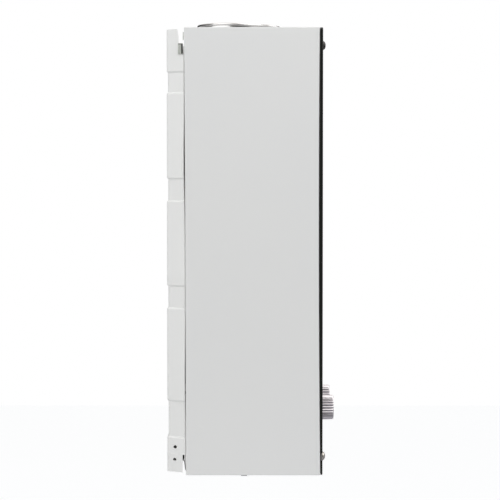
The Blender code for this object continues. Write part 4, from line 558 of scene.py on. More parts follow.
@dataclass
class Piece:
    """One finished piece: a mesh with its finish, its body and the solids it stands for.

    Attributes:
        name: The piece's name.
        mesh: Its mesh, in its place.
        finish: Its finish.
        body: The body that it rides on.
        replaces: Solids that it stands for.
        crease: Angle above which an edge stays sharp, in degrees.
        bevel: Width of a fine bevel on its sharp edges.
        flat: Whether its large faces keep their own normals up to the bends.
    """

    name: str
    mesh: bpy.types.Mesh
    finish: Finish
    body: str = CHASSIS
    replaces: tuple[str, ...] = ()
    crease: float = CREASE
    bevel: float = 0.0
    flat: bool = False

    def place(self) -> None:
        """Puts the piece into the scene."""
        obj = bpy.data.objects.new(self.name, self.mesh)
        bpy.context.scene.collection.objects.link(obj)
        self.mesh.materials.clear()
        self.mesh.materials.append(self.finish.material())
        self.mesh.shade_smooth()
        self.mesh.set_sharp_from_angle(angle=math.radians(self.crease))
        if self.bevel:
            bevel = obj.modifiers.new("fine_edge", "BEVEL")
            bevel.width = self.bevel
            bevel.segments = 2
            bevel.limit_method = "ANGLE"
            bevel.angle_limit = math.radians(self.crease)
            bevel.harden_normals = True
        if self.flat:
            weighted = obj.modifiers.new("flat_faces", "WEIGHTED_NORMAL")
            weighted.mode = "FACE_AREA"
            weighted.keep_sharp = True
        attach(obj, self.body)
        if self.replaces:
            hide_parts(*self.replaces)
        LOG.info("placed %s", self.name)


def copied(name: str, node: str, levels: tuple[float, ...] = ()) -> bpy.types.Mesh:
    """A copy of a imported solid's mesh with its points merged, and its flat faces joined or cut level for bending.

    Args:
        name: The copy's name.
        node: The solid's node.
        levels: Heights of the level cuts it gets, or none to have its flat faces joined.

    Returns:
        The copy.
    """
    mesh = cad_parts[node].data.copy()
    mesh.name = name
    with editing(mesh) as bm:
        bmesh.ops.remove_doubles(bm, verts=bm.verts, dist=WELD)
        if not levels:
            bmesh.ops.dissolve_limit(bm, angle_limit=FLAT_ANGLE, verts=bm.verts, edges=bm.edges)
    if "custom_normal" in mesh.attributes:
        mesh.attributes.remove(mesh.attributes["custom_normal"])
    if levels:
        cut_level(mesh, levels)
    return mesh


def cut_level(mesh: bpy.types.Mesh, levels: tuple[float, ...]) -> None:
    """Cuts a mesh at several heights, so that its long faces can bend.

    Args:
        mesh: The mesh.
        levels: The heights.
    """
    with editing(mesh) as bm:
        for height in levels:
            bmesh.ops.bisect_plane(bm, geom=[*bm.verts, *bm.edges, *bm.faces], dist=WELD, plane_co=(0.0, 0.0, height),
                                   plane_no=(0.0, 0.0, 1.0))


def front_bow(height: np.ndarray) -> np.ndarray:
    """How far the joint of cover and glass stands forward at a height: start + slope z + curve z squared."""
    start, slope, curve = FRONT_BOW
    return start + slope * height + curve * height**2


def smoothed(name: str, node: str, finish: Finish, body: str = CHASSIS, bevel: float = 0.0) -> None:
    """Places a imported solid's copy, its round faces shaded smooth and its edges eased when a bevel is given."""
    Piece(name, copied(name, node), finish, body, (node,), bevel=bevel).place()


def put(name: str, grid: np.ndarray, finish: Finish, replaces: tuple[str, ...] = (), body: str = CHASSIS,
        crease: float = CREASE, weld: float = WELD) -> None:
    """Places a piece made of one grid that wraps, its points merged within the weld distance."""
    Piece(name, Surface().patch(grid).mesh(name, weld), finish, body, replaces, crease).place()


def face_point(low: Vector, high: Vector, depth: float) -> Triple:
    """The point at a depth in the middle of a box's front view."""
    return (low.x + high.x) / 2, depth, (low.z + high.z) / 2


def points_of(mesh: bpy.types.Mesh) -> np.ndarray:
    """A mesh's points, one row each."""
    points = np.empty(len(mesh.vertices) * 3)
    mesh.vertices.foreach_get("co", points)
    return points.reshape(-1, 3)


def side_strip(name: str, size: Triple, place: Triple, finish: Finish) -> None:
    """Places a thin upright strip on a side of the case.

    Args:
        name: The piece's name.
        size: Its depth, height and thickness.
        place: Its middle.
        finish: Its finish.
    """
    deep, high, thick = size
    corner, edge = STRIP_ROUND
    grid = closed(slab(deep, high, thick, thick * corner, thick * edge))
    across, along, up = grid[..., 0], grid[..., 1], grid[..., 2]
    points = np.stack([place[0] + up - thick / 2, across + place[1], along + place[2]], -1)
    put(name, points, finish)


# Sub-assemblies


@dataclass
class Casing:
    """The white wall plate, cover and bottom panel, the hooks and screws that join them, and thin strips: a black strip
    on each hook tab and, as painted shade, a dark strip along each tab's top edge, a black piece behind each foot notch
    and a grey strip along each foot lip's free edge.

    Strips have a depth, a height and a thickness; places have a side, a depth and a height. The seam's values are its
    base gap and two bell curves, each with its width, its height up the case and its spread.
    """

    edge: float = 0.00035
    wide_bend: float = 0.0022
    tight_bend: float = 0.0009
    setback: float = 0.0213
    lean: float = 0.0022
    plate_lean: float = 0.0016
    plate_rise: float = 0.0012
    rise_zone: float = 0.0100
    rise_start: float = 0.0020
    black_strip: Triple = (0.0017, 0.0008, 0.0006)
    black_strip_place: float = -0.0193
    hook_length: float = 0.84
    shadow_strip: Triple = (0.0040, 0.0007, 0.0006)
    lug: Triple = (0.0011, 0.0098, 0.0008)
    lug_place: Triple = (0.1628, -0.02075, 0.2640)
    slot_shade: Triple = (0.0034, 0.0066, 0.0008)
    slot_shade_place: Triple = (0.1590, -0.0200, -0.2530)
    seam_shift: Triple = (0.0005, 0.00119, -0.00175)
    seam_depth: float = 0.0210
    edge_zone: float = 0.0185
    end_zone: float = 0.0040
    foot_step: tuple[float, float] = (-0.0197, -0.24985)
    step_cuts: tuple[float, float] = (-0.2500, -0.2497)
    top_step: float = 0.2430
    seam: tuple[float, ...] = (0.00003, 0.00130, 0.1095, 0.040, 0.00085, -0.1560, 0.040)
    lip: tuple[tuple[float, float], ...] = ((-0.2440, -0.02135), (-0.2543, -0.02135), (-0.2560, -0.02055),
                                            (-0.2572, -0.02055), (-0.2593, -0.02130), (-0.2642, -0.02180),
                                            (-0.2679, -0.02240), (-0.2707, -0.02350))
    lip_side: float = 0.1604
    lip_sheet: float = 0.0008
    lip_line: float = 0.0010
    line_proud: float = 0.0003
    line_start: int = 2
    lip_rows: int = 40
    reach_under: float = 0.0040
    hooks: tuple[str, ...] = ("cover_hook_left", "cover_hook_right")
    screws: tuple[str, ...] = ("cover_screw_left", "cover_screw_right")

    def build(self) -> None:
        """Builds the plate, the cover, the panel and their small parts."""
        self.build_plate()
        self.build_cover()
        smoothed("base_panel", "bottom_panel", ENAMEL)
        for node, sign in zip(self.hooks, (-1, 1)):
            side = node.split("_")[-1]
            low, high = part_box(node)
            mesh = copied("hook_tab_" + side, node)
            points = points_of(mesh)
            points[:, 1] = high.y + (points[:, 1] - high.y) * self.hook_length
            mesh.vertices.foreach_set("co", points.ravel())
            Piece("hook_tab_" + side, mesh, PASSIVATED, replaces=(node,), bevel=self.edge).place()
            # A black strip in the rubber finish over the front of each hook tab.
            across = sign * (max(abs(low.x), abs(high.x)) + self.black_strip[1] / 2)
            size = (self.black_strip[0], high.z - low.z - 2 * self.black_strip[2], self.black_strip[1])
            side_strip("hook_black_strip_" + side, size, (across, self.black_strip_place, (low.z + high.z) / 2), RUBBER)
            # A dark metal strip along each hook tab's top edge: painted shadow of that edge.
            shadow_place = (across, self.black_strip_place + (self.black_strip[0] + self.shadow_strip[0]) / 2, high.z - self.shadow_strip[1])
            side_strip("hook_painted_shadow_" + side, self.shadow_strip, shadow_place, CLIP)
            lug_side, *lug_rest = self.lug_place
            side_strip("hook_lug_" + side, self.lug, (sign * lug_side, *lug_rest), PASSIVATED)
            self.build_lip(side, sign)
            # A black piece behind each foot notch: painted shade that makes the slot dark.
            slot_shade_side, *slot_shade_rest = self.slot_shade_place
            side_strip("foot_painted_shade_" + side, self.slot_shade, (sign * slot_shade_side, *slot_shade_rest), RUBBER)
        for node in self.screws:
            smoothed("plated_" + node, node, ZINC)

    def shift(self, down: np.ndarray) -> np.ndarray:
        """How far the seam stands forward of the solids at a share of the height: start + slope d + curve d squared."""
        start, slope, curve = self.seam_shift
        return start + slope * down + curve * down**2

    def build_plate(self) -> None:
        """Builds the wall plate. Its flanges lean by a share that grows from the tray to their front edge and from the
        top to the foot. The front edge itself follows the cover's rear edge at the seam's gap, which is a base plus
        two bell curves of height, and steps back at the foot. The top rim stands up a little."""
        mesh = copied("wall_plate", "back_plate", (*LEVELS, *self.step_cuts))
        low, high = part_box("back_plate")
        points = points_of(mesh)
        depth, height = points[:, 1].copy(), points[:, 2].copy()
        front = (depth - high.y) / (low.y - high.y)
        down = (high.z - height) / (high.z - low.z)
        base, *humps = self.seam
        gap = base + sum(tall * np.exp(-(((height - middle) / spread) ** 2) / 2)
                         for tall, middle, spread in (humps[:3], humps[3:]))
        step_depth, step_height = self.foot_step
        foot = (height < step_height) & (depth > step_depth)
        edge = (depth < -self.edge_zone) & (height < self.top_step) & ~foot
        meeting = self.seam_depth - self.setback - self.shift(down) - self.lean * down + gap
        points[:, 1] += np.where(edge, meeting, np.where(foot, 0.0, -self.plate_lean * front * down))
        rise = (np.clip((height - high.z + self.rise_zone) / self.rise_zone, 0, 1)
                * np.clip(-depth / self.rise_start, 0, 1))
        points[:, 2] += self.plate_rise * rise
        mesh.vertices.foreach_set("co", points.ravel())
        # The plate takes the lighter copy of the enamel, painted light on its flanges.
        Piece("wall_plate", mesh, PLATE_ENAMEL_LIT, replaces=("back_plate",), crease=9.0).place()

    def build_cover(self) -> None:
        """Builds the cover with tight bends. A bend's point lies at a vector from the bend's centre, in distances from
        the outer faces; that vector is shortened by what the bend's radius loses, and starts from the new centre."""
        mesh = copied("cover_shell", "front_cover", LEVELS)
        low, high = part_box("front_cover")
        points = points_of(mesh)
        middle = np.array([(low.x + high.x) / 2, 0.0, (low.z + high.z) / 2])
        half = np.array([(high.x - low.x) / 2, 0.0, (high.z - low.z) / 2])
        sign = np.where(points > middle, 1.0, -1.0)
        rear = -self.setback - self.lean * (high.z - points[:, 2]) / (high.z - low.z)
        gap = half - np.abs(points - middle)
        behind, before = rear - points[:, 1], points[:, 1] - low.y
        gap[:, 1] = np.minimum(behind, before)
        sign[:, 1] = np.where(behind < before, 1.0, -1.0)
        near = gap < self.wide_bend + WELD
        bent = near & (near.sum(1) > 1)[:, None]
        arm = np.where(bent, gap - self.wide_bend, 0.0)
        length = np.maximum(np.linalg.norm(arm, axis=1), WELD)[:, None]
        shorter = arm * (length - self.wide_bend + self.tight_bend) / length
        moved = np.where(bent, self.tight_bend + shorter - gap, 0.0)
        points -= sign * moved
        down = (high.z - points[:, 2]) / (high.z - low.z)
        points[:, 1] -= np.where(behind < self.end_zone, self.shift(down), 0.0)
        points[:, 1] -= np.where(before < self.end_zone, front_bow(points[:, 2]), 0.0)
        mesh.vertices.foreach_set("co", points.ravel())
        Piece("cover_shell", mesh, ENAMEL, replaces=("front_cover",), crease=50.0, flat=True).place()

    def build_lip(self, side: str, sign: float) -> None:
        """Builds the sheet lip that closes the flange's notch at the foot, and a grey strip along its free edge that is
        painted shade on that edge. The free edge's depth is a curve of height through the lip's stations.

        Args:
            side: Left or right.
            sign: -1 at the left and 1 at the right.
        """
        lip, line = self.lip_edge(0), self.lip_edge(self.line_start)
        self.lip_strip("foot_lip_" + side, ENAMEL, lip, -self.setback - self.reach_under, sign * self.lip_side)
        # The grey strip along the lip's free edge is painted shade.
        self.lip_strip("foot_edge_painted_shade_" + side, CLIP, line, line[:, 1] - self.lip_line,
                       sign * (self.lip_side + self.line_proud))

    def lip_edge(self, first: int) -> np.ndarray:
        """The lip's free edge from one of its stations down to the last.

        Args:
            first: The station where it starts.

        Returns:
            Height and depth, one row each.
        """
        stations = np.array(self.lip)
        height = np.linspace(stations[first, 0], stations[-1, 0], self.lip_rows)
        return np.stack([height, np.interp(-height, -stations[:, 0], stations[:, 1])], -1)

    def lip_strip(self, name: str, finish: Finish, edge: np.ndarray, inner: np.ndarray | float,
                  across: float) -> None:
        """Places a thin upright strip between the free edge and an inner edge.

        Args:
            name: The piece's name.
            finish: Its finish.
            edge: Height and depth of the free edge.
            inner: Depth of the inner edge.
            across: The middle of its thickness.
        """
        height, free = edge[:, :1], edge[:, 1:]
        ring = np.array([(0.0, -0.5), (1.0, -0.5), (1.0, 0.5), (0.0, 0.5)])
        side = across + self.lip_sheet * ring[None, :, 1] + 0 * height
        depth = free + ring[None, :, 0] * (np.reshape(inner, (-1, 1)) - free)
        put(name, closed(np.stack([side, depth, height + 0 * side], -1)), finish)


@dataclass
class GlassFront:
    """The black glass panel with its polished edge and its display window."""

    edge: float = 0.0011
    corner: float = 0.0030
    side_room: float = 0.0004
    border: float = 0.0040
    film: float = 0.00008
    window_corner: float = 0.0020
    bar: tuple[float, float] = (0.0056, 0.0010)
    bar_share: float = 0.86
    bar_round: float = 0.3
    sign_round: float = 0.1
    sign_place: tuple[float, float] = (1.1, 0.85)
    figures: tuple[float, ...] = (-0.0105, 0.0015)

    def build(self) -> None:
        """Builds the glass, whose rear bows with the cover's front, and on it the window with its unlit figures."""
        low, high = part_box("glass_panel")
        size = high - low
        grid = closed(slab(size.x - 2 * self.side_room, size.z, size.y, self.corner, self.edge))
        mesh = Surface().patch(turn_about(grid, Axis.Y, face_point(low, high, high.y))).mesh("glass_front")
        cut_level(mesh, LEVELS)
        points = points_of(mesh)
        points[:, 1] -= np.where(points[:, 1] > (low.y + high.y) / 2, front_bow(points[:, 2]), 0.0)
        mesh.vertices.foreach_set("co", points.ravel())
        Piece("glass_front", mesh, GLASS, replaces=("glass_panel",), crease=60.0, flat=True).place()
        near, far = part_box("display_module")
        window = closed(slab(far.x - near.x - 2 * self.border, far.z - near.z - self.border, self.film,
                             self.window_corner, self.film / 3, 2))
        put("display_window", turn_about(window, Axis.Y, face_point(near, far, low.y)), WINDOW, weld=FINE_WELD)
        self.build_figures(face_point(near, far, low.y - self.film))

    def build_figures(self, place: Triple) -> None:
        """Seven bars for each figure and a small ring of four for the degree sign. A bar lies at an offset from its
        figure's middle, given in half bar lengths, and stands or lies flat.

        Args:
            place: The window's middle, on its front.
        """
        length, thick = self.bar
        long, short = length * self.bar_share, thick * self.bar_share
        seven = ((0, 2, 1), (0, 0, 1), (0, -2, 1), (-1, 1, 0), (1, 1, 0), (-1, -1, 0), (1, -1, 0))
        bars = [(figure + across * length / 2, up * length / 2, long, short, thick * self.bar_round, flat)
                for figure in self.figures for across, up, flat in seven]
        side, rise = self.figures[1] + length * self.sign_place[0], length * self.sign_place[1]
        bars += [(side + across * length / 8, rise + up * length / 8, length / 4, thick / 2, thick * self.sign_round,
                  flat) for across, up, flat in ((0, 1, 1), (0, -1, 1), (-1, 0, 0), (1, 0, 0))]
        surface = Surface()
        for across, up, long, short, corner, flat in bars:
            wide, tall = (long, short) if flat else (short, long)
            bar = closed(slab(wide, tall, self.film / 2, corner, self.film / 6, 1))
            surface.patch(turn_about(bar + np.array([across, up, 0.0]), Axis.Y, place))
        Piece("unlit_figures", surface.mesh("unlit_figures", FINE_WELD), FIGURES).place()


@dataclass
class ControlKnob:
    """A fluted knob with its seal ring and spindle."""

    kind: str
    ribs: int = 26
    steps: int = 12
    groove: float = 0.0014
    draft_share: float = 0.98
    rim: float = 0.0014
    dish: float = 0.0006
    pointer: Triple = (0.0013, 0.0056, 0.00012)
    pointer_drop: float = 0.0021
    pointer_round: float = 0.45
    marks: int = 11
    mark_sweep: float = math.radians(135)
    stroke_width: float = 0.0009
    stroke_length: float = 0.0036
    stroke_height: float = 0.00008
    stroke_corner: float = 0.0002
    stroke_edge: float = 0.00003
    stroke_radius: float = 0.0225
    groove_power: float = 0.9
    dish_slope: float = 8.0

    def build(self) -> None:
        """Builds the knob with its pointer, the dial round it, its seal and its spindle."""
        low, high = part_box(self.kind + "_knob")
        radius = (high.z - low.z) / 2
        body = self.kind + "_control"
        self.build_marks(low, high)
        grid = self.grid(radius, high.y - low.y)
        put(self.kind + "_fluted_knob", turn_about(grid, Axis.Y, face_point(low, high, high.y)), KNOB,
            (self.kind + "_knob",), body, 50.0)
        wide, tall, thick = self.pointer
        pointer = closed(slab(wide, tall, thick, wide * self.pointer_round, thick / 3, 2))
        pointer[..., 1] += radius * self.draft_share - self.rim - self.pointer_drop - tall / 2
        face = face_point(low, high, low.y + self.dish + thick / 4)
        put(self.kind + "_pointer", turn_about(pointer, Axis.Y, face), KNOB_MARK, body=body, weld=FINE_WELD)
        smoothed(self.kind + "_seal_ring", self.kind + "_knob_seal", RUBBER, bevel=0.0003)
        smoothed(self.kind + "_shaft", self.kind + "_spindle", BRASS, body)

    def build_marks(self, low: Vector, high: Vector) -> None:
        """Fine printed strokes round the knob, each a thin slab turned about the knob's axis.

        Args:
            low: The lower corner of the knob's box.
            high: The upper corner of the knob's box.
        """
        face = face_point(low, high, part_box("glass_panel")[0].y)
        surface = Surface()
        for angle in np.linspace(-self.mark_sweep, self.mark_sweep, self.marks):
            stroke = closed(slab(self.stroke_width, self.stroke_length, self.stroke_height, self.stroke_corner,
                                 self.stroke_edge, 1))
            stroke[..., 1] += self.stroke_radius
            cos, sin = math.cos(angle), math.sin(angle)
            across = stroke[..., 0] * cos + stroke[..., 1] * sin
            up = stroke[..., 1] * cos - stroke[..., 0] * sin
            surface.patch(turn_about(np.stack([across, up, stroke[..., 2]], -1), Axis.Y, face))
        name = self.kind + "_dial_marks"
        Piece(name, surface.mesh(name, FINE_WELD), PRINT).place()

    def grid(self, radius: float, length: float) -> np.ndarray:
        """The knob's surface. Its radius falls from the foot to the face by the draft, and each rib is the round part
        of |sin| between two narrow grooves, which fade out over the rim.

        Args:
            radius: Outer radius at its foot.
            length: From its foot to its face.

        Returns:
            Its grid, closed at the foot and at the middle of the face.
        """
        face = radius * self.draft_share - self.rim
        profile = rounded([(0.0, 0.0), (radius, 0.0), (radius * self.draft_share, length - self.rim),
                           (face, length)], self.rim / 2, 4)
        inner = np.linspace(1, 0, 9)[1:]
        dished = length - self.dish * np.clip((1 - inner) * self.dish_slope, 0, 1)
        profile = np.concatenate([profile, np.stack([face * inner, dished], -1)])
        angle = np.linspace(0, FULL_TURN, self.ribs * self.steps, endpoint=False)
        groove = (1 - np.abs(np.sin(self.ribs * angle / 2))) ** self.groove_power
        fade = np.clip((profile[:, 0] - face) / self.rim, 0, 1)[:, None]
        reach = profile[:, 0, None] - self.groove * groove[None] * fade
        height = np.broadcast_to(profile[:, 1, None], reach.shape)
        return np.stack([reach * np.cos(angle), reach * np.sin(angle), height], -1)


@dataclass
class CapScrews:
    """The domed caps that hold the glass panel, one plated metal in two copies: darker at the top as painted shade and
    brighter at the foot as painted reflection.
    """

    flange: float = 0.0008
    ease: float = 0.0002
    seat: float = 0.0003
    steps: int = 40
    clip: Triple = (0.0024, 0.0084, 0.0004)
    clip_side: float = 0.1648
    clip_drop: float = 0.0018

    def build(self) -> None:
        """Builds the four caps, and a clip over the glass's edge beside each lower one."""
        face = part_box("glass_panel")[0].y
        for number in range(1, 5):
            node = f"glass_screw_{number}"
            low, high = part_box(node)
            foot = face - self.seat
            grid = self.grid((high.x - low.x) / 2, foot - low.y)
            centre = face_point(low, high, foot)
            # Top caps take the dark copy as painted shade, lower caps the bright copy as painted reflection.
            finish = CAP_PAINTED_SHADE if number < 3 else CAP_PAINTED_REFLECTION
            put(f"domed_cap_{number}", turn_about(grid, Axis.Y, centre), finish, (node,), crease=35.0)
            if number > 2:
                side = math.copysign(self.clip_side, centre[0])
                place = (side, face + self.clip[0] / 2, centre[2] + self.clip_drop)
                side_strip(f"edge_clip_{number}", self.clip, place, CLIP)

    def grid(self, radius: float, rise: float) -> np.ndarray:
        """A cap: an eased flange, and on it a quarter ellipse (r cos t, flange + h sin t) turned about the axis.

        Args:
            radius: Outer radius of its flange.
            rise: From its foot to its crown.

        Returns:
            Its grid.
        """
        dome = np.linspace(0, math.pi / 2, 9)
        crown = [(radius - self.flange) * np.cos(dome), self.flange + (rise - self.flange) * np.sin(dome)]
        foot_ring = [(0.0, 0.0), (radius - self.ease, 0.0), (radius, self.ease), (radius, self.flange - self.ease),
                     (radius - self.ease, self.flange)]
        return lathe(np.concatenate([np.array(foot_ring), np.stack(crown, -1)]), self.steps)


@dataclass
class Flue:
    """The flue collar with its rolled bead, and the draught hood under it."""

    tube: float = 0.0540
    wall: float = 0.0009
    bead: float = 0.0009
    bead_drop: float = 0.0018
    bead_tall: float = 1.8
    neck_drop: float = 0.0060
    lip_ease: float = 0.00015
    foot_round: float = 0.0004
    rim_round: float = 0.0002
    droop: Triple = (0.0008, 0.0020, 0.0011)
    steps: int = 96

    def build(self) -> None:
        """Builds the collar and the hood. The rim droops by start + slope u - curve u squared, where u runs from -1 at
        the wall side to 1 at the front, and never rises."""
        low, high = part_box("flue_collar")
        centre = ((low.x + high.x) / 2, (low.y + high.y) / 2, low.z)
        rise, outer = high.z - low.z, (high.x - low.x) / 2
        tube, inner = self.tube, self.tube - self.wall
        bulge = np.linspace(-math.pi / 2, math.pi / 2, 9)
        bead = np.stack([tube + self.bead * np.cos(bulge),
                         rise - self.bead_drop + self.bead_tall * self.bead * np.sin(bulge)], -1)
        base = rounded([(inner, 0.0), (outer, 0.0), (outer, self.wall), (tube, self.wall),
                        (tube, rise - self.neck_drop)], self.foot_round)
        top = rounded([(tube, rise - self.lip_ease), (tube - self.wall / 2, rise), (inner, rise - self.lip_ease),
                       (inner, 0.0)], self.rim_round)
        grid = lathe(np.concatenate([base, bead, top]), self.steps)
        ahead = -grid[..., 1] / tube
        start, slope, curve = self.droop
        drop = np.clip(start + slope * ahead - curve * ahead**2, 0, None)
        grid[..., 2] -= drop * np.clip(grid[..., 2] / rise, 0, 1)
        put("flue_ring", turn_about(grid, Axis.Z, centre), COLLAR, ("flue_collar",), crease=40.0)
        smoothed("hood_sheet", "draught_hood", ZINC)


@dataclass
class Connector:
    """A threaded connector with its lock nut."""

    node: str
    pitch: float = 0.0018
    depth: float = 0.0009
    crest: float = 0.0104
    bore: float = 0.0070
    collar: float = 0.0150
    collar_height: float = 0.0030
    seat: float = -0.2720
    run_out: float = 0.0010
    run_out_depth: float = 0.0005
    end_room: tuple[float, float] = (0.0004, 0.0002)
    tip: float = 0.0008
    ease: float = 0.0003
    steps: int = 48
    rows: int = 90
    nut_steps: int = 72
    nut_bore: float = 0.0107
    nut_face: float = 0.985
    nut_fall: float = 0.58

    def build(self) -> None:
        """Builds the connector and its nut."""
        low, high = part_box(self.node)
        centre = ((low.x + high.x) / 2, (low.y + high.y) / 2, 0.0)
        thread = turn_about(self.thread_grid(low.z, high.z), Axis.Z, centre)
        put(self.node + "_thread", thread, BRASS, (self.node,), crease=60.0)
        nut = self.node + "_nut"
        low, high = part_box(nut)
        hexagon = turn_about(self.nut_grid(low.z, high.z, (high.y - low.y) / 2), Axis.Z, centre)
        put(nut + "_hex", hexagon, BRASS, (nut,), crease=30.0)

    def thread_grid(self, foot: float, top: float) -> np.ndarray:
        """A tube whose outer radius follows a helix: radius = crest - depth * |saw(height / pitch - turn)|, with a
        collar above the panel and a plain bore.

        Args:
            foot: Height of its lower end.
            top: Height of its upper end.

        Returns:
            Its grid.
        """
        crest, bore, collar, seat = self.crest, self.bore, self.collar, self.seat
        angle = np.linspace(0, FULL_TURN, self.steps, endpoint=False)
        height = np.linspace(foot + self.end_room[0], seat - self.end_room[1], self.rows)[:, None]
        phase = height / self.pitch - angle[None] / FULL_TURN
        saw = np.abs(2 * (phase - np.floor(phase + 0.5)))
        ends = np.clip((height - foot) / self.run_out, 0, 1)
        reach = crest - self.depth * (1 - saw) * ends - self.run_out_depth * (1 - ends)
        thread = np.stack([reach * np.cos(angle), reach * np.sin(angle), height + 0 * angle], -1)
        upper = [(crest, seat), (collar, seat), (collar, seat + self.collar_height), (crest, seat + self.collar_height),
                 (crest, top), (bore, top), (bore, foot), (crest - self.tip, foot)]
        return np.concatenate([thread, lathe(rounded(upper, self.ease, 2), self.steps)])

    def nut_grid(self, foot: float, top: float, across: float) -> np.ndarray:
        """A hexagon whose corners are turned off at both ends: radius = across / cos(angle from the flat's middle),
        and each face's height falls by a share of what the radius passes the face's flat part by.

        Args:
            foot: Height of its lower face.
            top: Height of its upper face.
            across: Half its width over the flats.

        Returns:
            Its grid.
        """
        angle = np.linspace(0, FULL_TURN, self.nut_steps, endpoint=False)
        side = np.mod(angle, math.pi / 3) - math.pi / 6
        hexagon = across / np.cos(side)
        bore = np.full_like(angle, self.nut_bore)
        flat = np.full_like(angle, across * self.nut_face)
        drop = np.clip(hexagon - flat, 0, None) * self.nut_fall
        rows = [(bore, top + 0 * drop), (flat, top + 0 * drop), (hexagon, top - drop), (hexagon, foot + drop),
                (flat, foot + 0 * drop), (bore, foot + 0 * drop), (bore, top + 0 * drop)]
        return np.stack([np.stack([r * np.cos(angle), r * np.sin(angle), z], -1) for r, z in rows])


@dataclass
class Works:
    """The parts inside the case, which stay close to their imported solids."""

    plain: tuple[tuple[str, Finish], ...] = (
        ("fin_stack", COPPER), ("combustion_chamber", COPPER), ("chamber_coil", COPPER), ("hot_pipe", COPPER),
        ("cold_pipe", COPPER), ("gas_pipe", COPPER), ("burner_frame", STAINLESS), ("burner_bars", STAINLESS),
        ("gas_manifold", CAST), ("gas_valve_body", CAST), ("water_valve_body", BRASS), ("diaphragm_cover", BRASS),
        ("drain_plug", BRASS), ("diaphragm", RUBBER), ("solenoid_valve", BLACK_PLASTIC),
        ("microswitch", BLACK_PLASTIC), ("display_module", BLACK_PLASTIC), ("overheat_thermostat", BLACK_PLASTIC),
        ("flue_sensor", BLACK_PLASTIC), ("ignition_module", GREY_PLASTIC), ("battery_case", GREY_PLASTIC),
        ("ignition_electrode", CERAMIC), ("flame_sensor", CERAMIC), ("ignition_lead", RED_SLEEVE),
        ("sensor_lead", RUBBER), ("battery_lead", RUBBER), ("valve_bracket", ZINC), ("exchanger_bracket", ZINC),
        ("upper_contact", STAINLESS), ("battery_1", JACKET), ("battery_2", JACKET))

    def build(self) -> None:
        """Dresses the inner parts."""
        for node, finish in self.plain:
            smoothed("inner_" + node, node, finish)
        smoothed("water_stem_rod", "valve_stem", STAINLESS, "water_stem")
        smoothed("lever_spring", "switch_lever", STAINLESS, "lever")
        smoothed("battery_flap", "battery_cover", WHITE_PLASTIC, "battery_door", bevel=0.0003)


# Studio


@dataclass(frozen=True)
class Lamp:
    """A square area lamp that faces a point.

    Attributes:
        name: Its name.
        place: Where it stands.
        target: The point that it faces.
        size: Its side.
        power: Its power in watts.
    """

    name: str
    place: Triple
    target: Triple
    size: float
    power: float

    def build(self) -> None:
        """Builds the lamp."""
        data = bpy.data.lights.new(self.name, "AREA")
        data.size = self.size
        data.energy = self.power
        lamp = bpy.data.objects.new(self.name, data)
        lamp.location = self.place
        lamp.rotation_euler = (Vector(self.target) - Vector(self.place)).to_track_quat("-Z", "Y").to_euler()
        bpy.context.scene.collection.objects.link(lamp)


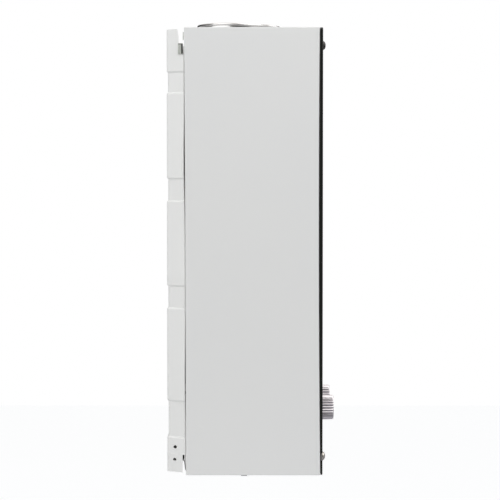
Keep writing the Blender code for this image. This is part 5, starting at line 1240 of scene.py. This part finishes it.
@dataclass
class Studio:
    """The camera, lights, floor and background.

    Attributes:
        distance: From the camera to the side of the case.
        side: Where that side lies.
        eye: The camera's place along Y and Z.
        lens: Its focal length in millimetres.
        sensor: Its sensor's width in millimetres.
        pitch: How far it looks down, in degrees.
        roll: How far it is turned about its axis, in degrees.
        floor: The floor's height.
        floor_span: Half the floor's side.
        floor_lift: Light that the floor gives to the camera.
        floor_tone: The floor's colour.
        floor_mirrored: The floor's colour in reflections.
        floor_roughness: Its roughness.
        glossy_share: Share of the floor's light that reflections see.
        ambient: Strength of the even world.
        world_tone: Its colour.
        ceiling_tone: The ceiling's colour in reflections.
        ceiling: How far up a reflection looks where the ceiling starts and where it is full.
        room: Place, from 0 to 1 round the compass, and brightness of the walls that reflections see.
        room_tint: Colour of those walls.
        lamps: The lamps.
    """

    distance: float = 2.2960
    side: float = -0.165
    eye: tuple[float, float] = (-0.10235, 0.0965)
    lens: float = 135.0
    sensor: float = 36.0
    pitch: float = 2.337
    roll: float = 0.01
    floor: float = -1.70
    floor_span: float = 12.0
    floor_lift: float = 0.55
    floor_tone: Colour = (0.93, 0.93, 0.93, 1.0)
    floor_mirrored: Colour = (0.50, 0.49, 0.53, 1.0)
    floor_roughness: float = 0.9
    glossy_share: float = 0.15
    ambient: float = 0.45
    world_tone: Colour = (0.97, 0.985, 1.0, 1.0)
    ceiling_tone: Colour = (0.95, 0.91, 0.87, 1.0)
    ceiling: tuple[float, float] = (0.30, 0.75)
    room: tuple[tuple[float, float], ...] = (
        (0.0, 0.08), (0.05, 0.12), (0.12, 0.95), (0.19, 1.0), (0.27, 0.50), (0.42, 0.10), (0.5, 0.05), (0.60, 0.05),
        (0.70, 0.16), (0.78, 0.42), (0.86, 0.80), (0.94, 0.16), (1.0, 0.08))
    room_tint: Triple = (1.0, 0.985, 0.97)
    lamps: tuple[Lamp, ...] = (
        Lamp("key", (-1.3, -1.1, 1.75), (-0.165, -0.09, 0.20), 2.3, 32.5),
        Lamp("fill", (-1.4, 1.6, 1.2), (-0.165, -0.03, 0.15), 2.6, 26.0),
        Lamp("bounce", (-0.44, -0.12, -0.50), (-0.165, -0.10, -0.30), 0.2, 0.11),
        Lamp("front", (0.9, -2.4, 1.0), (0.0, -0.19, 0.0), 1.8, 16.0),
        Lamp("far_side", (2.2, -0.3, 1.1), (0.165, -0.09, 0.0), 2.0, 14.0))

    def build(self) -> None:
        """Builds the camera, the floor, the lamps and the world."""
        scene = bpy.context.scene
        scene.view_settings.view_transform = "Standard"
        camera = bpy.data.objects.new("camera", bpy.data.cameras.new("camera"))
        scene.collection.objects.link(camera)
        camera.data.lens = self.lens
        camera.data.sensor_width = self.sensor
        camera.data.clip_end = 100.0
        camera.location = (self.side - self.distance, *self.eye)
        aim = Euler((math.radians(90 - self.pitch), 0.0, math.radians(-90)), "XYZ").to_matrix()
        spin = Matrix.Rotation(math.radians(self.roll), 3, "Z")
        camera.rotation_euler = (aim @ spin).to_euler()
        scene.camera = camera
        self.build_floor()
        self.build_world()
        for lamp in self.lamps:
            lamp.build()

    def build_floor(self) -> None:
        """A plain pale floor under the heater, white to the camera and greyer in reflections."""
        span = self.floor_span
        grid = np.array([[(-span, -span, self.floor), (span, -span, self.floor)],
                         [(-span, span, self.floor), (span, span, self.floor)]])
        mesh = Surface().patch(grid, wrap=False).mesh("floor")
        floor = bpy.data.objects.new("floor", mesh)
        bpy.context.scene.collection.objects.link(floor)
        material = bpy.data.materials.new("pale_floor")
        material.use_nodes = True
        nodes = Nodes(material.node_tree)
        path = nodes.tree.nodes.new("ShaderNodeLightPath").outputs
        tone = nodes.mix(path["Is Glossy Ray"], self.floor_tone, self.floor_mirrored)
        shader = nodes.add(nodes.tree.nodes["Principled BSDF"], {"Base Color": tone, "Roughness": self.floor_roughness})
        glossy = nodes.maths("MULTIPLY", path["Is Glossy Ray"], self.glossy_share)
        clear = nodes.maths("MAXIMUM", path["Is Camera Ray"], path["Is Transmission Ray"])
        seen = nodes.maths("MAXIMUM", clear, glossy)
        glow = nodes.add("ShaderNodeEmission", {"Strength": nodes.maths("MULTIPLY", seen, self.floor_lift)})
        total = nodes.add("ShaderNodeAddShader", {0: shader.outputs["BSDF"], 1: glow.outputs["Emission"]})
        nodes.add(nodes.tree.nodes["Material Output"], {"Surface": total.outputs["Shader"]})
        mesh.materials.append(material)

    def build_world(self) -> None:
        """A soft even world, seen as plain white by the camera and as studio walls in reflections."""
        world = bpy.data.worlds.new("studio")
        bpy.context.scene.world = world
        world.use_nodes = True
        nodes = Nodes(world.node_tree)
        base = nodes.add(nodes.tree.nodes["Background"], {"Color": self.world_tone, "Strength": self.ambient})
        white = nodes.add("ShaderNodeBackground", {"Color": WHITE, "Strength": 1.0})
        room = nodes.add("ShaderNodeBackground", {"Color": self.room_tone(nodes)})
        path = nodes.tree.nodes.new("ShaderNodeLightPath").outputs
        mirror = nodes.add("ShaderNodeMixShader", {
            0: path["Is Glossy Ray"], 1: base.outputs["Background"], 2: room.outputs["Background"]})
        clear = nodes.maths("MAXIMUM", path["Is Camera Ray"], path["Is Transmission Ray"])
        choose = nodes.add("ShaderNodeMixShader", {
            0: clear, 1: mirror.outputs["Shader"], 2: white.outputs["Background"]})
        nodes.add(nodes.tree.nodes["World Output"], {"Surface": choose.outputs["Shader"]})

    def room_tone(self, nodes: Nodes) -> bpy.types.NodeSocket:
        """White and grey studio walls, by the compass direction that a reflection looks in, under a pale ceiling.

        Args:
            nodes: The world's nodes.

        Returns:
            The colour socket.
        """
        ray = nodes.tree.nodes.new("ShaderNodeTexCoord").outputs["Generated"]
        split = nodes.add("ShaderNodeSeparateXYZ", {"Vector": ray}).outputs
        angle = nodes.maths("ARCTAN2", split["Y"], split["X"])
        turn = nodes.maths("ADD", nodes.maths("DIVIDE", angle, FULL_TURN), 0.5)
        walls = nodes.add("ShaderNodeValToRGB", {"Fac": turn})
        stops = walls.color_ramp.elements
        while len(stops) < len(self.room):
            stops.new(0.5)
        for stop, (place, _) in zip(stops, self.room):
            stop.position = place
        for stop, (_, tone) in zip(stops, self.room):
            stop.color = (*(tone * tint for tint in self.room_tint), 1.0)
        return nodes.mix(nodes.remap(split["Z"], self.ceiling), walls.outputs["Color"], self.ceiling_tone)


def main() -> None:
    """Builds the scene."""
    logging.basicConfig(level=logging.INFO)
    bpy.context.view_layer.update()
    assemblies = [Casing(), GlassFront(), CapScrews(), ControlKnob("gas"), ControlKnob("water"), Flue(),
                  *(Connector(node) for node in ("gas_inlet", "water_inlet", "water_outlet")), Works()]
    for assembly in assemblies:
        assembly.build()
    Studio().build()


if __name__ == "__main__":
    main()
